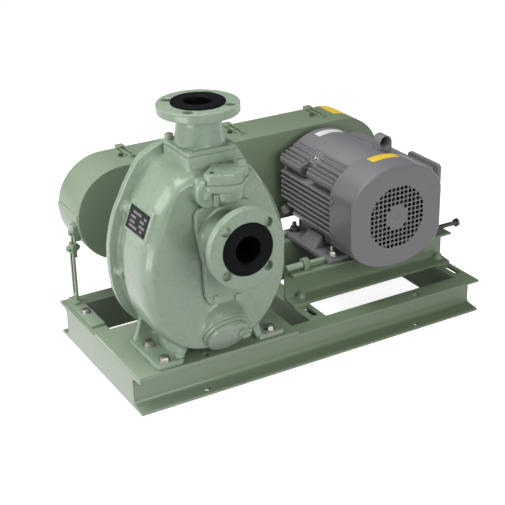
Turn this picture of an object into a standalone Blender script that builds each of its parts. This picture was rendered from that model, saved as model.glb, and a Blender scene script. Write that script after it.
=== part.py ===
# Belt-driven slurry pump with rubber-lined branches, on a channel-steel base.
# Units: metres, +Z up. The front of the set (suction side) faces -Y.
# Origin: centre of the base frame, on the floor.
# Shapes are written in millimetres in a frame whose zero is the front left
# corner of the base, and are moved to the origin by world().

import math

import bmesh
import bpy
from mathutils import Matrix, Vector

MM = 0.001
GAP = 0.3

# base frame
LENGTH = 820.0
WIDTH = 400.0
CH_H = 75.0
CH_B = 40.0
CH_WEB = 5.0
CH_FL = 7.0
CROSS_X = 406.0
SLOT_W = 12.0
SLOT_Y0 = 52.0
SLOT_Y1 = 97.0
SOLE_T = 9.0
SOLE_X = 354.0
SOLE_Y = 211.0
FRAME_X0 = 406.0
FRAME_Y0 = 102.0

# pump
PUMP_X = 182.0
SHAFT_Z = 266.0
CASE_Y0 = -5.0
CASE_Y1 = 128.0
RIM_Y1 = 143.0
COVER_Y1 = 156.0
DIS_Y = 71.0
DIS_Z = 577.0
SUC_Z = 348.0
SUC_Y = -103.0
FL_R = 78.0
FL_T = 17.0
PCD_R = 61.0
HOLE_R = 9.5
LINER_R = 51.5
BORE_R = 25.0
TUBE_R = 29.7
BODY_BORE = 30.1

# motor
MOT_X = 612.0
MOT_Z = 262.0
MOT_Y0 = 28.0
COWL_Y1 = 108.0
BODY_Y1 = 318.0
SHIELD_Y1 = 344.0
MOT_HALF = 114.0

# belt guard
GU_Y0 = 349.0
GU_Y1 = 457.0
GU_R = 105.0
GU_XL = 142.0
GU_XR = 688.0
GU_T = 2.0

for old in list(bpy.data.objects):
    bpy.data.objects.remove(old, do_unlink=True)

scene = bpy.context.scene
parts = bpy.data.collections.new("Slurry_Pump_Set")
scene.collection.children.link(parts)
helpers = bpy.data.collections.new("Cutters")
scene.collection.children.link(helpers)
helpers.hide_render = True


def material(name, colour, rough, metal):
    m = bpy.data.materials.new(name)
    m.use_nodes = True
    b = m.node_tree.nodes["Principled BSDF"]
    b.inputs["Base Color"].default_value = (*colour, 1.0)
    b.inputs["Roughness"].default_value = rough
    b.inputs["Metallic"].default_value = metal
    m.diffuse_color = (*colour, 1.0)
    return m


GREEN = (0.33, 0.42, 0.32)
GREY = (0.20, 0.195, 0.20)
BLACK = (0.015, 0.015, 0.016)
STEEL = (0.55, 0.55, 0.53)


def world(x, y, z):
    return Vector(((x - LENGTH / 2) * MM, (y - WIDTH / 2) * MM, z * MM))


def link(name, me, helper=False, angle=32.0):
    """Puts a finished mesh in the scene, shaded smooth with its corners kept sharp."""
    me.name = name
    me.shade_smooth()
    me.set_sharp_from_angle(angle=math.radians(angle))
    ob = bpy.data.objects.new(name, me)
    if helper:
        helpers.objects.link(ob)
        ob.display_type = "WIRE"
        ob.hide_render = True
    else:
        parts.objects.link(ob)
    return ob


def settle(source, name, helper, angle=32.0):
    """Mesh object with the evaluated shape of a source object, which is then removed."""
    bpy.context.view_layer.update()
    seen = source.evaluated_get(bpy.context.evaluated_depsgraph_get())
    me = bpy.data.meshes.new_from_object(seen)
    place = source.matrix_world.copy()
    bpy.data.objects.remove(source, do_unlink=True)
    bm = bmesh.new()
    bm.from_mesh(me)
    bmesh.ops.remove_doubles(bm, verts=bm.verts, dist=0.00002)
    bmesh.ops.recalc_face_normals(bm, faces=bm.faces)
    bm.to_mesh(me)
    bm.free()
    ob = link(name, me, helper, angle)
    ob.matrix_world = place
    return ob


def along(axis):
    """Rotation that lays a shape drawn in X, Y and raised in Z across the given axis."""
    if axis == "X":
        return Matrix(((0, 0, 1), (1, 0, 0), (0, 1, 0)))
    if axis == "Y":
        return Matrix(((1, 0, 0), (0, 0, -1), (0, 1, 0)))
    return Matrix.Identity(3)


def put(axis, u, v, w):
    """Point at u, v across the axis and w along it."""
    return {"X": (w, u, v), "Y": (u, w, v), "Z": (u, v, w)}[axis]


def prism(name, outline, axis, a, b, helper=False, angle=32.0):
    """Flat outline given across the axis, as a filled curve from a to b along it."""
    cu = sum(u for u, v in outline) / len(outline)
    cv = sum(v for u, v in outline) / len(outline)
    curve = bpy.data.curves.new(name + "_outline", "CURVE")
    curve.dimensions = "2D"
    curve.fill_mode = "BOTH"
    curve.extrude = abs(b - a) / 2 * MM
    line = curve.splines.new("POLY")
    line.points.add(len(outline) - 1)
    for point, (u, v) in zip(line.points, outline):
        point.co = ((u - cu) * MM, (v - cv) * MM, 0.0, 1.0)
    line.use_cyclic_u = True
    source = bpy.data.objects.new(name + "_outline", curve)
    scene.collection.objects.link(source)
    source.matrix_world = Matrix.Translation(world(*put(axis, cu, cv, (a + b) / 2))) @ along(axis).to_4x4()
    return settle(source, name, helper, angle)


def box(name, x0, x1, y0, y1, z0, z1, helper=False, tilt=0.0):
    """Rectangular block, turned by tilt degrees about its own Y axis."""
    bm = bmesh.new()
    size = Matrix.Diagonal(((x1 - x0) * MM, (y1 - y0) * MM, (z1 - z0) * MM, 1.0))
    bmesh.ops.create_cube(bm, size=1.0, matrix=size)
    me = bpy.data.meshes.new(name)
    bm.to_mesh(me)
    bm.free()
    ob = link(name, me, helper)
    ob.location = world((x0 + x1) / 2, (y0 + y1) / 2, (z0 + z1) / 2)
    ob.rotation_euler = (0.0, math.radians(tilt), 0.0)
    return ob


def bore(name, cu, cv, axis, r, a, b, n=20, helper=True):
    """Plain cylinder of radius r from a to b along the axis; six sides make a hexagon."""
    bm = bmesh.new()
    bmesh.ops.create_cone(
        bm, cap_ends=True, segments=n, radius1=r * MM, radius2=r * MM, depth=abs(b - a) * MM
    )
    me = bpy.data.meshes.new(name)
    bm.to_mesh(me)
    bm.free()
    ob = link(name, me, helper)
    ob.matrix_world = Matrix.Translation(world(*put(axis, cu, cv, (a + b) / 2))) @ along(axis).to_4x4()
    return ob


def spin(name, place, profile, n, helper, angle=32.0):
    """Turned body: the profile (radius, height) goes round the Z axis of its place."""
    if profile[0][1] < profile[-1][1]:
        profile = profile[::-1]
    run = [(0.0, profile[0][1])] + list(profile) + [(0.0, profile[-1][1])]
    me = bpy.data.meshes.new(name + "_profile")
    me.from_pydata([(r * MM, 0.0, h * MM) for r, h in run], [(i, i + 1) for i in range(len(run) - 1)], [])
    source = bpy.data.objects.new(name + "_profile", me)
    scene.collection.objects.link(source)
    source.matrix_world = place
    screw = source.modifiers.new("Turn", "SCREW")
    screw.axis = "Z"
    screw.angle = 2 * math.pi
    screw.steps = n
    screw.render_steps = n
    screw.use_merge_vertices = True
    screw.merge_threshold = 0.00002
    return settle(source, name, helper, angle)


def turned(name, cu, cv, axis, profile, n=48, helper=False):
    """Turned body along an axis: profile is a list of (radius, position along the axis)."""
    turn = {"X": Matrix.Rotation(math.pi / 2, 4, "Y"), "Y": Matrix.Rotation(-math.pi / 2, 4, "X")}
    start = profile[0][1]
    place = Matrix.Translation(world(*put(axis, cu, cv, start))) @ turn.get(axis, Matrix.Identity(4))
    return spin(name, place, [(r, w - start) for r, w in profile], n, helper)


def tilted(name, centre, direction, profile, n=40, helper=False):
    """Turned body about any line: profile is a list of (radius, distance)."""
    turn = Vector(direction).to_track_quat("Z", "Y").to_matrix().to_4x4()
    return spin(name, Matrix.Translation(world(*centre)) @ turn, profile, n, helper)


def loft(name, rings, helper=False, angle=32.0):
    """Closed body through unlike sections of the same number of points, both ends filled."""
    bm = bmesh.new()
    rows = [[bm.verts.new(world(*p)) for p in ring] for ring in rings]
    n = len(rows[0])
    for a, b in zip(rows, rows[1:]):
        for i in range(n):
            j = (i + 1) % n
            bm.faces.new((a[i], a[j], b[j], b[i]))
    bm.faces.new(rows[0])
    bm.faces.new(list(reversed(rows[-1])))
    bmesh.ops.recalc_face_normals(bm, faces=bm.faces)
    me = bpy.data.meshes.new(name)
    bm.to_mesh(me)
    bm.free()
    return link(name, me, helper, angle)


def circle(cu, cv, r, n, start=0.0):
    return [
        (cu + r * math.cos(start + 2 * math.pi * i / n), cv + r * math.sin(start + 2 * math.pi * i / n))
        for i in range(n)
    ]


def soften(ob, width, segments, angle=40.0):
    """Rounds the sharp edges of a body."""
    m = ob.modifiers.new("Round_edges", "BEVEL")
    m.width = width * MM
    m.segments = segments
    m.limit_method = "ANGLE"
    m.angle_limit = math.radians(angle)
    return ob


def boolean(ob, others, operation):
    for other in others:
        m = ob.modifiers.new(operation.title() + "_" + other.name[:30], "BOOLEAN")
        m.operation = operation
        m.solver = "EXACT"
        m.object = other
    return ob


def fuse(ob, *others):
    return boolean(ob, others, "UNION")


def cut(ob, *others):
    return boolean(ob, others, "DIFFERENCE")


def dress(ob, colour, rough, metal=0.0):
    ob.data.materials.append(material("MAT_" + ob.name, colour, rough, metal))
    return ob


def seat(ob, x, y, z):
    """Moves the object's origin to its seat without moving its shape."""
    p = world(x, y, z)
    bpy.context.view_layer.update()
    ob.data.transform(Matrix.Translation(-p) @ ob.matrix_world)
    ob.matrix_world = Matrix.Translation(p)
    return ob


def rounded(x0, x1, y0, y1, r, n=4):
    pts = []
    for cx, cy, a0 in ((x1 - r, y0 + r, -90), (x1 - r, y1 - r, 0), (x0 + r, y1 - r, 90), (x0 + r, y0 + r, 180)):
        for i in range(n + 1):
            a = math.radians(a0 + 90.0 * i / n)
            pts.append((cx + r * math.cos(a), cy + r * math.sin(a)))
    return pts


def channel_profile(web_at, opens, z0):
    """Section of a rolled channel: web_at is the outer face of the web, opens is +1 or -1."""
    s = opens
    r = 7.0
    pts = [(0, 0), (CH_B, 0), (CH_B, CH_FL - 1.5), (CH_B - 1.5, CH_FL)]
    pts += [
        (CH_WEB + r - r * math.sin(math.radians(a)), CH_FL + r - r * math.cos(math.radians(a)))
        for a in (0, 30, 60, 90)
    ]
    pts += [(u, CH_H - v) for u, v in reversed(pts)]
    return [(web_at + s * u, z0 + v) for u, v in pts]


# ---------------------------------------------------------------- base frame
front = prism("base_front_channel", channel_profile(CH_B, -1, 0), "X", 0, LENGTH)
seat(dress(front, GREEN, 0.35), LENGTH / 2, CH_B, 0)
rear = prism("base_rear_channel", channel_profile(WIDTH - CH_B, 1, 0), "X", 0, LENGTH)
seat(dress(rear, GREEN, 0.35), LENGTH / 2, WIDTH - CH_B, 0)

IN_Y0 = CH_B + GAP
IN_Y1 = WIDTH - CH_B - GAP


def cross_channel(name, web_at, opens):
    return prism(name, channel_profile(web_at, opens, 0), "Y", IN_Y0, IN_Y1)


def slot_cutter(name, x):
    half = SLOT_W / 2
    pts = []
    for cy, a0 in ((SLOT_Y1 - half, 0), (SLOT_Y0 + half, 180)):
        for i in range(7):
            a = math.radians(a0 + 30 * i)
            pts.append((x + half * math.cos(a), cy + half * math.sin(a)))
    return prism(name, pts, "Z", CH_H - 14, CH_H + 6, helper=True)


left_end = seat(dress(cross_channel("base_left_end_channel", 0, 1), GREEN, 0.35), 0, WIDTH / 2, 0)
mid = cut(cross_channel("base_mid_cross_channel", CROSS_X, 1), slot_cutter("cut_mid_slot", CROSS_X + 22))
seat(dress(mid, GREEN, 0.35), CROSS_X, WIDTH / 2, 0)
right_end = cut(
    cross_channel("base_right_end_channel", LENGTH - CH_B, 1), slot_cutter("cut_end_slot", LENGTH - CH_B + 22)
)
seat(dress(right_end, GREEN, 0.35), LENGTH - CH_B, WIDTH / 2, 0)

SOLE_Z0 = CH_H + GAP
SOLE_Z = CH_H + SOLE_T
sole = prism(
    "pump_sole_plate",
    [(0, 0), (SOLE_X, 0), (SOLE_X, SOLE_Y), (0, SOLE_Y)],
    "Z",
    SOLE_Z0,
    SOLE_Z,
)
seat(dress(sole, GREEN, 0.35), SOLE_X / 2, SOLE_Y / 2, SOLE_Z0)

# raised frame that carries the motor
FR_Z0 = CH_H + GAP
FR_Z1 = FR_Z0 + CH_H
frame_front = prism(
    "motor_frame_front_channel", channel_profile(FRAME_Y0 + CH_B, -1, FR_Z0), "X", FRAME_X0, LENGTH
)
seat(dress(frame_front, GREEN, 0.35), FRAME_X0, FRAME_Y0 + CH_B, FR_Z0)
frame_rear = prism(
    "motor_frame_rear_channel", channel_profile(WIDTH - FRAME_Y0 - CH_B, 1, FR_Z0), "X", FRAME_X0, LENGTH
)
seat(dress(frame_rear, GREEN, 0.35), FRAME_X0, WIDTH - FRAME_Y0 - CH_B, FR_Z0)

# ---------------------------------------------------------------- pump casing
# half widths of the egg-shaped outlines by height, from the widest level up
RIM = [
    (275, 172), (299, 171), (339, 164), (381, 150), (399, 140), (416, 132), (430, 124),
    (446, 114), (460, 105), (468, 96), (477, 80), (484, 63), (491, 45),
]
SIDE = [
    (275, 160), (300, 159), (339, 151), (381, 136), (411, 120), (430, 107), (447, 95),
    (457, 85), (463, 74), (467, 60), (470, 46),
]
FACE = [
    (269, 148), (300, 146), (343, 136), (362, 129), (392, 118), (413, 108), (430, 99),
    (443, 89), (450, 80), (455, 68), (458, 52),
]
INNER = [
    (269, 124), (300, 122), (343, 112), (362, 106), (392, 98), (413, 91), (430, 84),
    (440, 76), (447, 64), (450, 48),
]
# exponent of the lower half, which is a little squarer than an ellipse
BELLY = 2.4


def half_width(table, z):
    if z <= table[0][0]:
        return table[0][1]
    for (z0, w0), (z1, w1) in zip(table, table[1:]):
        if z <= z1:
            return w0 + (w1 - w0) * (z - z0) / (z1 - z0)
    return table[-1][1]


def egg(table, top, bottom, grow=0.0, arc=32, rise=14):
    """Outline in X, Z: a squared ellipse below the widest level, the table above it."""
    zc, r = table[0][0], table[0][1] + grow
    deep = zc - bottom
    pts = []
    for i in range(arc + 1):
        a = math.pi * i / arc
        c, q = math.cos(a), math.sin(a)
        pts.append(
            (
                PUMP_X + r * math.copysign(abs(c) ** (2 / BELLY), c),
                zc - deep * q ** (2 / BELLY),
            )
        )
    levels = [zc + (top - zc) * math.sin(math.pi / 2 * i / rise) for i in range(1, rise + 1)]
    pts += [(PUMP_X - half_width(table, z) - grow, z) for z in levels]
    pts += [(PUMP_X + half_width(table, z) + grow, z) for z in reversed(levels)]
    return pts


def blend(a, b, t):
    return [(u0 + (u1 - u0) * t, v0 + (v1 - v0) * t) for (u0, v0), (u1, v1) in zip(a, b)]


side = egg(SIDE, 471, 100)
face = egg(FACE, 459, 104)
inner = egg(INNER, 451, 128)
# the front edge is rounded over a quarter ellipse from the side to the flat front
ROUND_Y = 46.0
FACE_AT = 0.34
stations = [(CASE_Y1 + 1, side)]
for i in range(7):
    a = math.radians(15 * i)
    t = 1 - math.cos(a)
    y = ROUND_Y - (ROUND_Y - CASE_Y0) * math.sin(a)
    if t <= FACE_AT:
        stations.append((y, blend(side, face, t / FACE_AT)))
    else:
        stations.append((y, blend(face, inner, (t - FACE_AT) / (1 - FACE_AT))))
casing = loft("pump_casing", [[(u, y, v) for u, v in ring] for y, ring in stations], angle=40)

rim = prism("add_casing_rim", egg(RIM, 493, 95), "Y", CASE_Y1, RIM_Y1, helper=True)
block = prism(
    "add_casing_block",
    rounded(PUMP_X - 51.5, PUMP_X + 51.5, DIS_Y - 51.5, DIS_Y + 51.5, 6),
    "Z",
    430,
    491.7,
    helper=True,
)
DIS_PLATE_Z0 = 492.0


def foot(name, s):
    """Foot of the casing: pad, flared side web and rear web."""
    xa, xb = sorted((PUMP_X - s * 84, PUMP_X - s * 141))
    z0 = SOLE_Z + GAP
    pad = prism(name + "_pad", rounded(xa, xb, 5.5, 134, 5, 3), "Z", z0, z0 + 11, helper=True)
    web = prism(
        name + "_web",
        [
            (PUMP_X - s * u, v)
            for u, v in (
                (94, z0 + 0.5), (82, z0 + 0.5), (78, 98), (70, 113), (60, 130), (60, 160),
                (84, 160), (85, 135), (89, 112), (93, 100),
            )
        ],
        "Y",
        12,
        133.5,
        helper=True,
    )
    back = prism(
        name + "_back",
        [
            (PUMP_X - s * u, v)
            for u, v in (
                (84, z0 + 0.5), (138.5, z0 + 0.5), (137, 92), (131, 101), (126, 113), (122, 128),
                (116, 150), (112, 165), (84, 165),
            )
        ],
        "Y",
        122,
        134,
        helper=True,
    )
    return pad, web, back


DRAIN_DIR = (0.0, -math.cos(math.radians(33)), -math.sin(math.radians(33)))
DRAIN_FACE = Vector((PUMP_X, -23, 130))


def along_drain(t):
    return tuple(DRAIN_FACE + Vector(DRAIN_DIR) * t)


drain_boss = tilted("add_drain_boss", along_drain(0), DRAIN_DIR, [(50, -75), (50, -16.3)], 40, helper=True)
LID_Z0 = 454.3
LID_Z1 = 475.0


def lid_outline(grow):
    """Round lid with a bolt ear on the left and on the right."""
    pts = []
    for cx, cy, r, a0, a1 in (
        (221, -15, 13, -75, 75), (187, -20, 34, 60, 120), (153, -25, 13, 105, 255), (187, -20, 34, 240, 300),
    ):
        for i in range(7):
            a = math.radians(a0 + (a1 - a0) * i / 6)
            pts.append((cx + (r + grow) * math.cos(a), cy + (r + grow) * math.sin(a)))
    return pts


prime_stub = turned("add_prime_stub", 150, 438, "Y", [(30, 30), (30, -28), (27, -32)], 40, helper=True)
prime_body = turned("add_prime_body", 187, -20, "Z", [(24, 416), (32, 424), (32, 453.9)], 36, helper=True)
prime_flange = prism("add_prime_flange", lid_outline(1.0), "Z", 440, 454, helper=True)
# raised pad for the nameplate, square to the sloping side
PLATE_TILT = math.degrees(math.atan2(16, 41))
PLATE_C = Vector((43.5, 57.0, 378.5))
PLATE_IN = Vector((math.cos(math.radians(PLATE_TILT)), 0.0, -math.sin(math.radians(PLATE_TILT))))


def plate_block(name, thick, depth, width, height, helper=False):
    """Block of the given thickness whose outer face lies depth below the face of the nameplate pad."""
    c = PLATE_C + PLATE_IN * (depth + thick / 2)
    return box(
        name,
        c.x - thick / 2, c.x + thick / 2,
        c.y - width / 2, c.y + width / 2,
        c.z - height / 2, c.z + height / 2,
        helper,
        PLATE_TILT,
    )


plate_pad = plate_block("add_nameplate_pad", 30, 0, 84, 56, helper=True)
fuse(
    casing, rim, block, *foot("add_left_foot", 1), *foot("add_right_foot", -1),
    drain_boss, prime_stub, prime_body, prime_flange, plate_pad,
)
# pocket for the priming lid
cut(casing, prism("cut_lid_pocket", lid_outline(0.8), "Z", LID_Z0 - GAP, 486, helper=True))
# machined seat round the drain boss
cut(casing, tilted("cut_drain_seat", along_drain(0), DRAIN_DIR, [(50.5, -16.3), (50.5, 40)], 40, helper=True))
seat(dress(casing, GREEN, 0.3), PUMP_X, DIS_Y, SOLE_Z + GAP)
nameplate = plate_block("nameplate", 1.0, -1.0 - GAP, 74, 44)
seat(dress(nameplate, (0.03, 0.03, 0.03), 0.4, 0.5), PLATE_C.x, PLATE_C.y, PLATE_C.z)

rear_cover = prism("pump_rear_cover", egg(RIM, 484, 104, -9), "Y", RIM_Y1 + GAP, COVER_Y1)
back_bulge = turned(
    "add_back_bulge",
    PUMP_X,
    SHAFT_Z,
    "Y",
    [(140, COVER_Y1 - 3), (138, COVER_Y1 + 6), (112, COVER_Y1 + 18), (82, COVER_Y1 + 24)],
    48,
    helper=True,
)
fuse(rear_cover, back_bulge)
seat(dress(rear_cover, GREEN, 0.3), PUMP_X, RIM_Y1 + GAP, SHAFT_Z)

BH_Y0 = COVER_Y1 + 24 + GAP
bearing = turned(
    "pump_bearing_housing",
    PUMP_X,
    SHAFT_Z,
    "Y",
    [(78, BH_Y0), (78, BH_Y0 + 12), (56, BH_Y0 + 14), (50, 226), (50, 300), (60, 304), (60, 322), (52, 325), (34, 325)],
)
seat(dress(bearing, GREEN, 0.35), PUMP_X, BH_Y0, SHAFT_Z)
shaft = turned(
    "pump_shaft",
    PUMP_X,
    SHAFT_Z,
    "Y",
    [(20, 325 + GAP), (20, 374.7), (14, 374.7), (14, 432)],
    32,
)
seat(dress(shaft, STEEL, 0.25, 1.0), PUMP_X, 325.3, SHAFT_Z)


def pulley(name, x, z, r):
    body = turned(
        name,
        x,
        z,
        "Y",
        [(r, 375), (r, 379), (r - 7, 384), (r - 7, 388), (r, 393), (r, 401), (r - 7, 406), (r - 7, 410), (r, 415), (r, 421)],
        48,
    )
    cut(body, bore("cut_" + name, x, z, "Y", 14.3, 370, 426, 32))
    return seat(dress(body, (0.12, 0.12, 0.12), 0.5, 0.7), x, 375, z)


PULLEY_R = 86.0
MOTOR_PULLEY_R = 56.0
pulley("pump_pulley", PUMP_X, SHAFT_Z, PULLEY_R)
pulley("motor_pulley", MOT_X, MOT_Z, MOTOR_PULLEY_R)

# ---------------------------------------------------------------- discharge
square = rounded(PUMP_X - 51.5, PUMP_X + 51.5, DIS_Y - 51.5, DIS_Y + 51.5, 6)
discharge = prism("discharge_branch", square, "Z", DIS_PLATE_Z0, 502)
neck = turned(
    "add_discharge_neck",
    PUMP_X,
    DIS_Y,
    "Z",
    [(50, 500), (46.5, 506), (44, 520), (42, 540), (42, 558), (46, 563)],
    40,
    helper=True,
)
disc = turned(
    "add_discharge_flange",
    PUMP_X,
    DIS_Y,
    "Z",
    [(FL_R - 1, DIS_Z - FL_T), (FL_R, DIS_Z - FL_T + 1), (FL_R, DIS_Z - 1), (FL_R - 1, DIS_Z)],
    56,
    helper=True,
)
fuse(discharge, neck, disc)
cut(discharge, bore("cut_discharge_bore", PUMP_X, DIS_Y, "Z", BODY_BORE, 480, 600, 48))
for i in range(4):
    a = math.radians(45 + 90 * i)
    cut(
        discharge,
        bore(
            f"cut_discharge_hole_{i}",
            PUMP_X + PCD_R * math.cos(a),
            DIS_Y + PCD_R * math.sin(a),
            "Z",
            HOLE_R,
            DIS_Z - FL_T - 5,
            DIS_Z + 5,
            16,
        ),
    )
seat(dress(discharge, GREEN, 0.3), PUMP_X, DIS_Y, DIS_PLATE_Z0)

liner = turned(
    "discharge_liner",
    PUMP_X,
    DIS_Y,
    "Z",
    [(TUBE_R, 500), (TUBE_R, DIS_Z + GAP), (LINER_R, DIS_Z + GAP), (LINER_R, DIS_Z + 3.2), (LINER_R - 0.8, DIS_Z + 4)],
)
cut(liner, bore("cut_discharge_liner", PUMP_X, DIS_Y, "Z", BORE_R, 490, 600, 32))
seat(dress(liner, BLACK, 0.7), PUMP_X, DIS_Y, DIS_Z + GAP)

# ---------------------------------------------------------------- suction
PLATE_Y1 = CASE_Y0 - GAP
PLATE_Y0 = PLATE_Y1 - 13
shield = [
    (-44, 226), (-38, 212), (-28, 204), (28, 204), (38, 212), (44, 226),
    (45, 290), (56, 348), (59, 366), (59, 394), (53, 404), (42, 408),
    (-42, 408), (-53, 404), (-59, 394), (-59, 366), (-56, 348), (-45, 290),
]
suction_cover = prism(
    "suction_cover", [(PUMP_X + u, v) for u, v in shield], "Y", PLATE_Y0, PLATE_Y1
)
cut(suction_cover, bore("cut_suction_cover", PUMP_X, SUC_Z, "Y", BODY_BORE, PLATE_Y0 - 5, PLATE_Y1 + 5, 48))
seat(dress(suction_cover, GREEN, 0.3), PUMP_X, PLATE_Y1, SUC_Z)

SUC_BACK = PLATE_Y0 - GAP
suction = turned(
    "suction_branch",
    PUMP_X,
    SUC_Z,
    "Y",
    [
        (FL_R - 1, SUC_Y), (FL_R, SUC_Y + 1), (FL_R, SUC_Y + FL_T - 1), (FL_R - 1, SUC_Y + FL_T),
        (50, SUC_Y + FL_T), (45, SUC_Y + FL_T + 5), (43, -60), (45, -36), (52, SUC_BACK - 4), (52, SUC_BACK),
    ],
    56,
)
cut(suction, bore("cut_suction_bore", PUMP_X, SUC_Z, "Y", BODY_BORE, -120, 0, 48))
for i in range(4):
    a = math.radians(45 + 90 * i)
    cut(
        suction,
        bore(
            f"cut_suction_hole_{i}",
            PUMP_X + PCD_R * math.cos(a),
            SUC_Z + PCD_R * math.sin(a),
            "Y",
            HOLE_R,
            SUC_Y - 5,
            SUC_Y + FL_T + 5,
            16,
        ),
    )
seat(dress(suction, GREEN, 0.3), PUMP_X, SUC_BACK, SUC_Z)

suction_liner = turned(
    "suction_liner",
    PUMP_X,
    SUC_Z,
    "Y",
    [
        (LINER_R - 0.8, SUC_Y - 4), (LINER_R, SUC_Y - 3.2), (LINER_R, SUC_Y - GAP),
        (TUBE_R, SUC_Y - GAP), (TUBE_R, PLATE_Y1 - 1),
    ],
)
cut(suction_liner, bore("cut_suction_liner", PUMP_X, SUC_Z, "Y", BORE_R, -120, 0, 32))
seat(dress(suction_liner, BLACK, 0.7), PUMP_X, SUC_Y - GAP, SUC_Z)

# ---------------------------------------------------------------- priming lid
lid = prism("priming_lid", lid_outline(0.0), "Z", LID_Z0, LID_Z1)
seat(dress(lid, GREEN, 0.3), 187, -20, LID_Z0)

# ---------------------------------------------------------------- drain
drain_collar = tilted("drain_collar", along_drain(0), DRAIN_DIR, [(48, -16), (49, -15), (49, -9.3)], 48)
seat(dress(drain_collar, GREEN, 0.3), *along_drain(-16))
drain_cap = tilted("drain_cap", along_drain(0), DRAIN_DIR, [(44, -9), (44, -1.5), (42.5, 0)], 48)
seat(dress(drain_cap, GREEN, 0.3), *along_drain(-9))

# ---------------------------------------------------------------- belt guard


def stadium(r, z_from, z_to, arc=14):
    """Half stadium above or below the split line."""
    pts = []
    up = z_to > z_from
    s = 1 if up else -1
    base = z_from
    off = abs(z_from - SHAFT_Z)
    half = math.sqrt(r * r - off * off)
    a0 = math.asin(off / r)
    for i in range(arc + 1):
        a = a0 + (math.pi / 2 - a0) * i / arc
        pts.append((GU_XR + r * math.cos(a), SHAFT_Z + s * r * math.sin(a)))
    for i in range(arc + 1):
        a = math.pi / 2 - (math.pi / 2 - a0) * i / arc
        pts.append((GU_XL - r * math.cos(a), SHAFT_Z + s * r * math.sin(a)))
    return pts


def half_guard(name, up):
    z0 = SHAFT_Z + (GAP if up else 0.0)
    z1 = SHAFT_Z + (GU_R if up else -GU_R)
    shell = prism(name, stadium(GU_R, z0, z1), "Y", GU_Y0, GU_Y1)
    hollow = stadium(GU_R - GU_T, z0, z1)
    first, last = hollow[0], hollow[-1]
    reach = z0 + (-6 if up else 6)
    hollow = [(first[0], reach)] + hollow + [(last[0], reach)]
    cut(shell, prism("cut_" + name, hollow, "Y", GU_Y0 + GU_T, GU_Y1 - GU_T, helper=True))
    for label, x, z in (("pump", PUMP_X, SHAFT_Z), ("motor", MOT_X, MOT_Z)):
        cut(shell, bore(f"cut_{name}_{label}", x, z, "Y", 42, GU_Y0 - 4, GU_Y0 + 6, 32))
    return shell


lower = half_guard("belt_guard_lower", False)
lug = box("add_guard_lug", 34, 44, 358, 380, 222, 258, helper=True)
fuse(lower, lug)
seat(dress(lower, GREEN, 0.35), GU_XL, GU_Y0, SHAFT_Z)
upper = half_guard("belt_guard_upper", True)
seat(dress(upper, GREEN, 0.35), GU_XL, GU_Y0, SHAFT_Z + GAP)

bracket = box("guard_stay_bracket", 8, 38, 246, 388, CH_H + GAP, CH_H + GAP + 6)
seat(dress(bracket, GREEN, 0.35), 23, 317, CH_H + GAP)
ST_Z = CH_H + GAP + 6 + GAP
lower_stay = box("guard_stay_lower", 23.4, 28.4, 358, 380, ST_Z, 216)
fuse(lower_stay, box("add_stay_foot", 14, 28.4, 350, 384, ST_Z, ST_Z + 5, helper=True))
seat(dress(lower_stay, GREEN, 0.35), 21, 369, ST_Z)
upper_stay = box("guard_stay_upper", 28.7, 33.7, 358, 380, 186, 256)
seat(dress(upper_stay, GREEN, 0.35), 33.7, 369, 240)

support = box("guard_rear_support", 600, 650, 364, 392, CH_H + GAP, CH_H + GAP + 6)
fuse(
    support,
    box("add_support_web", 600, 650, 386, 392, CH_H + GAP + 1, 160, helper=True),
    box("add_support_top", 600, 650, 366, 392, 154, SHAFT_Z - GU_R - GAP, helper=True),
)
seat(dress(support, GREEN, 0.35), 625, 378, CH_H + GAP)


def belt_outline(d):
    """Outline round both pulleys, d outside their rims."""
    r0, r1 = PULLEY_R + d, MOTOR_PULLEY_R + d
    dx, dz = MOT_X - PUMP_X, MOT_Z - SHAFT_Z
    dist = math.hypot(dx, dz)
    tilt = math.atan2(dz, dx)
    open_angle = math.acos((r0 - r1) / dist)
    pts = []
    for i in range(19):
        a = tilt + open_angle + (2 * math.pi - 2 * open_angle) * i / 18
        pts.append((PUMP_X + r0 * math.cos(a), SHAFT_Z + r0 * math.sin(a)))
    for i in range(13):
        a = tilt - open_angle + 2 * open_angle * i / 12
        pts.append((MOT_X + r1 * math.cos(a), MOT_Z + r1 * math.sin(a)))
    return pts


belts = prism("drive_belts", belt_outline(8), "Y", 379, 417)
cut(belts, prism("cut_drive_belts", belt_outline(1.1), "Y", 370, 430, helper=True))
seat(dress(belts, BLACK, 0.8), PUMP_X, 379, SHAFT_Z)

# ---------------------------------------------------------------- motor


def cowl_outline(half, straight, top, bottom, n=18):
    """Short flat sides with a high crown above and a slightly lower one below."""
    pts = []
    for s, crown in ((1, top), (-1, bottom)):
        for i in range(n + 1):
            a = math.pi * i / n
            pts.append((MOT_X + s * half * math.cos(a), MOT_Z + s * (straight + crown * math.sin(a))))
    return pts


cowl = prism("motor_fan_cover", cowl_outline(MOT_HALF, 40, 74, 70), "Y", MOT_Y0, COWL_Y1)
bm = bmesh.new()
bm.from_mesh(cowl.data)
front_z = max(v.co.z for v in bm.verts)
rim_edges = [
    e for e in bm.edges if all(v.co.z > front_z - 0.0001 for v in e.verts) and e.calc_face_angle(0.0) > 1.0
]
bmesh.ops.bevel(
    bm, geom=rim_edges, offset=6 * MM, offset_type="OFFSET", segments=4, profile=0.5, affect="EDGES"
)
bm.to_mesh(cowl.data)
bm.free()
cowl.data.shade_smooth()
cowl.data.set_sharp_from_angle(angle=math.radians(32))
seat(dress(cowl, GREY, 0.4), MOT_X, COWL_Y1, MOT_Z)

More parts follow.
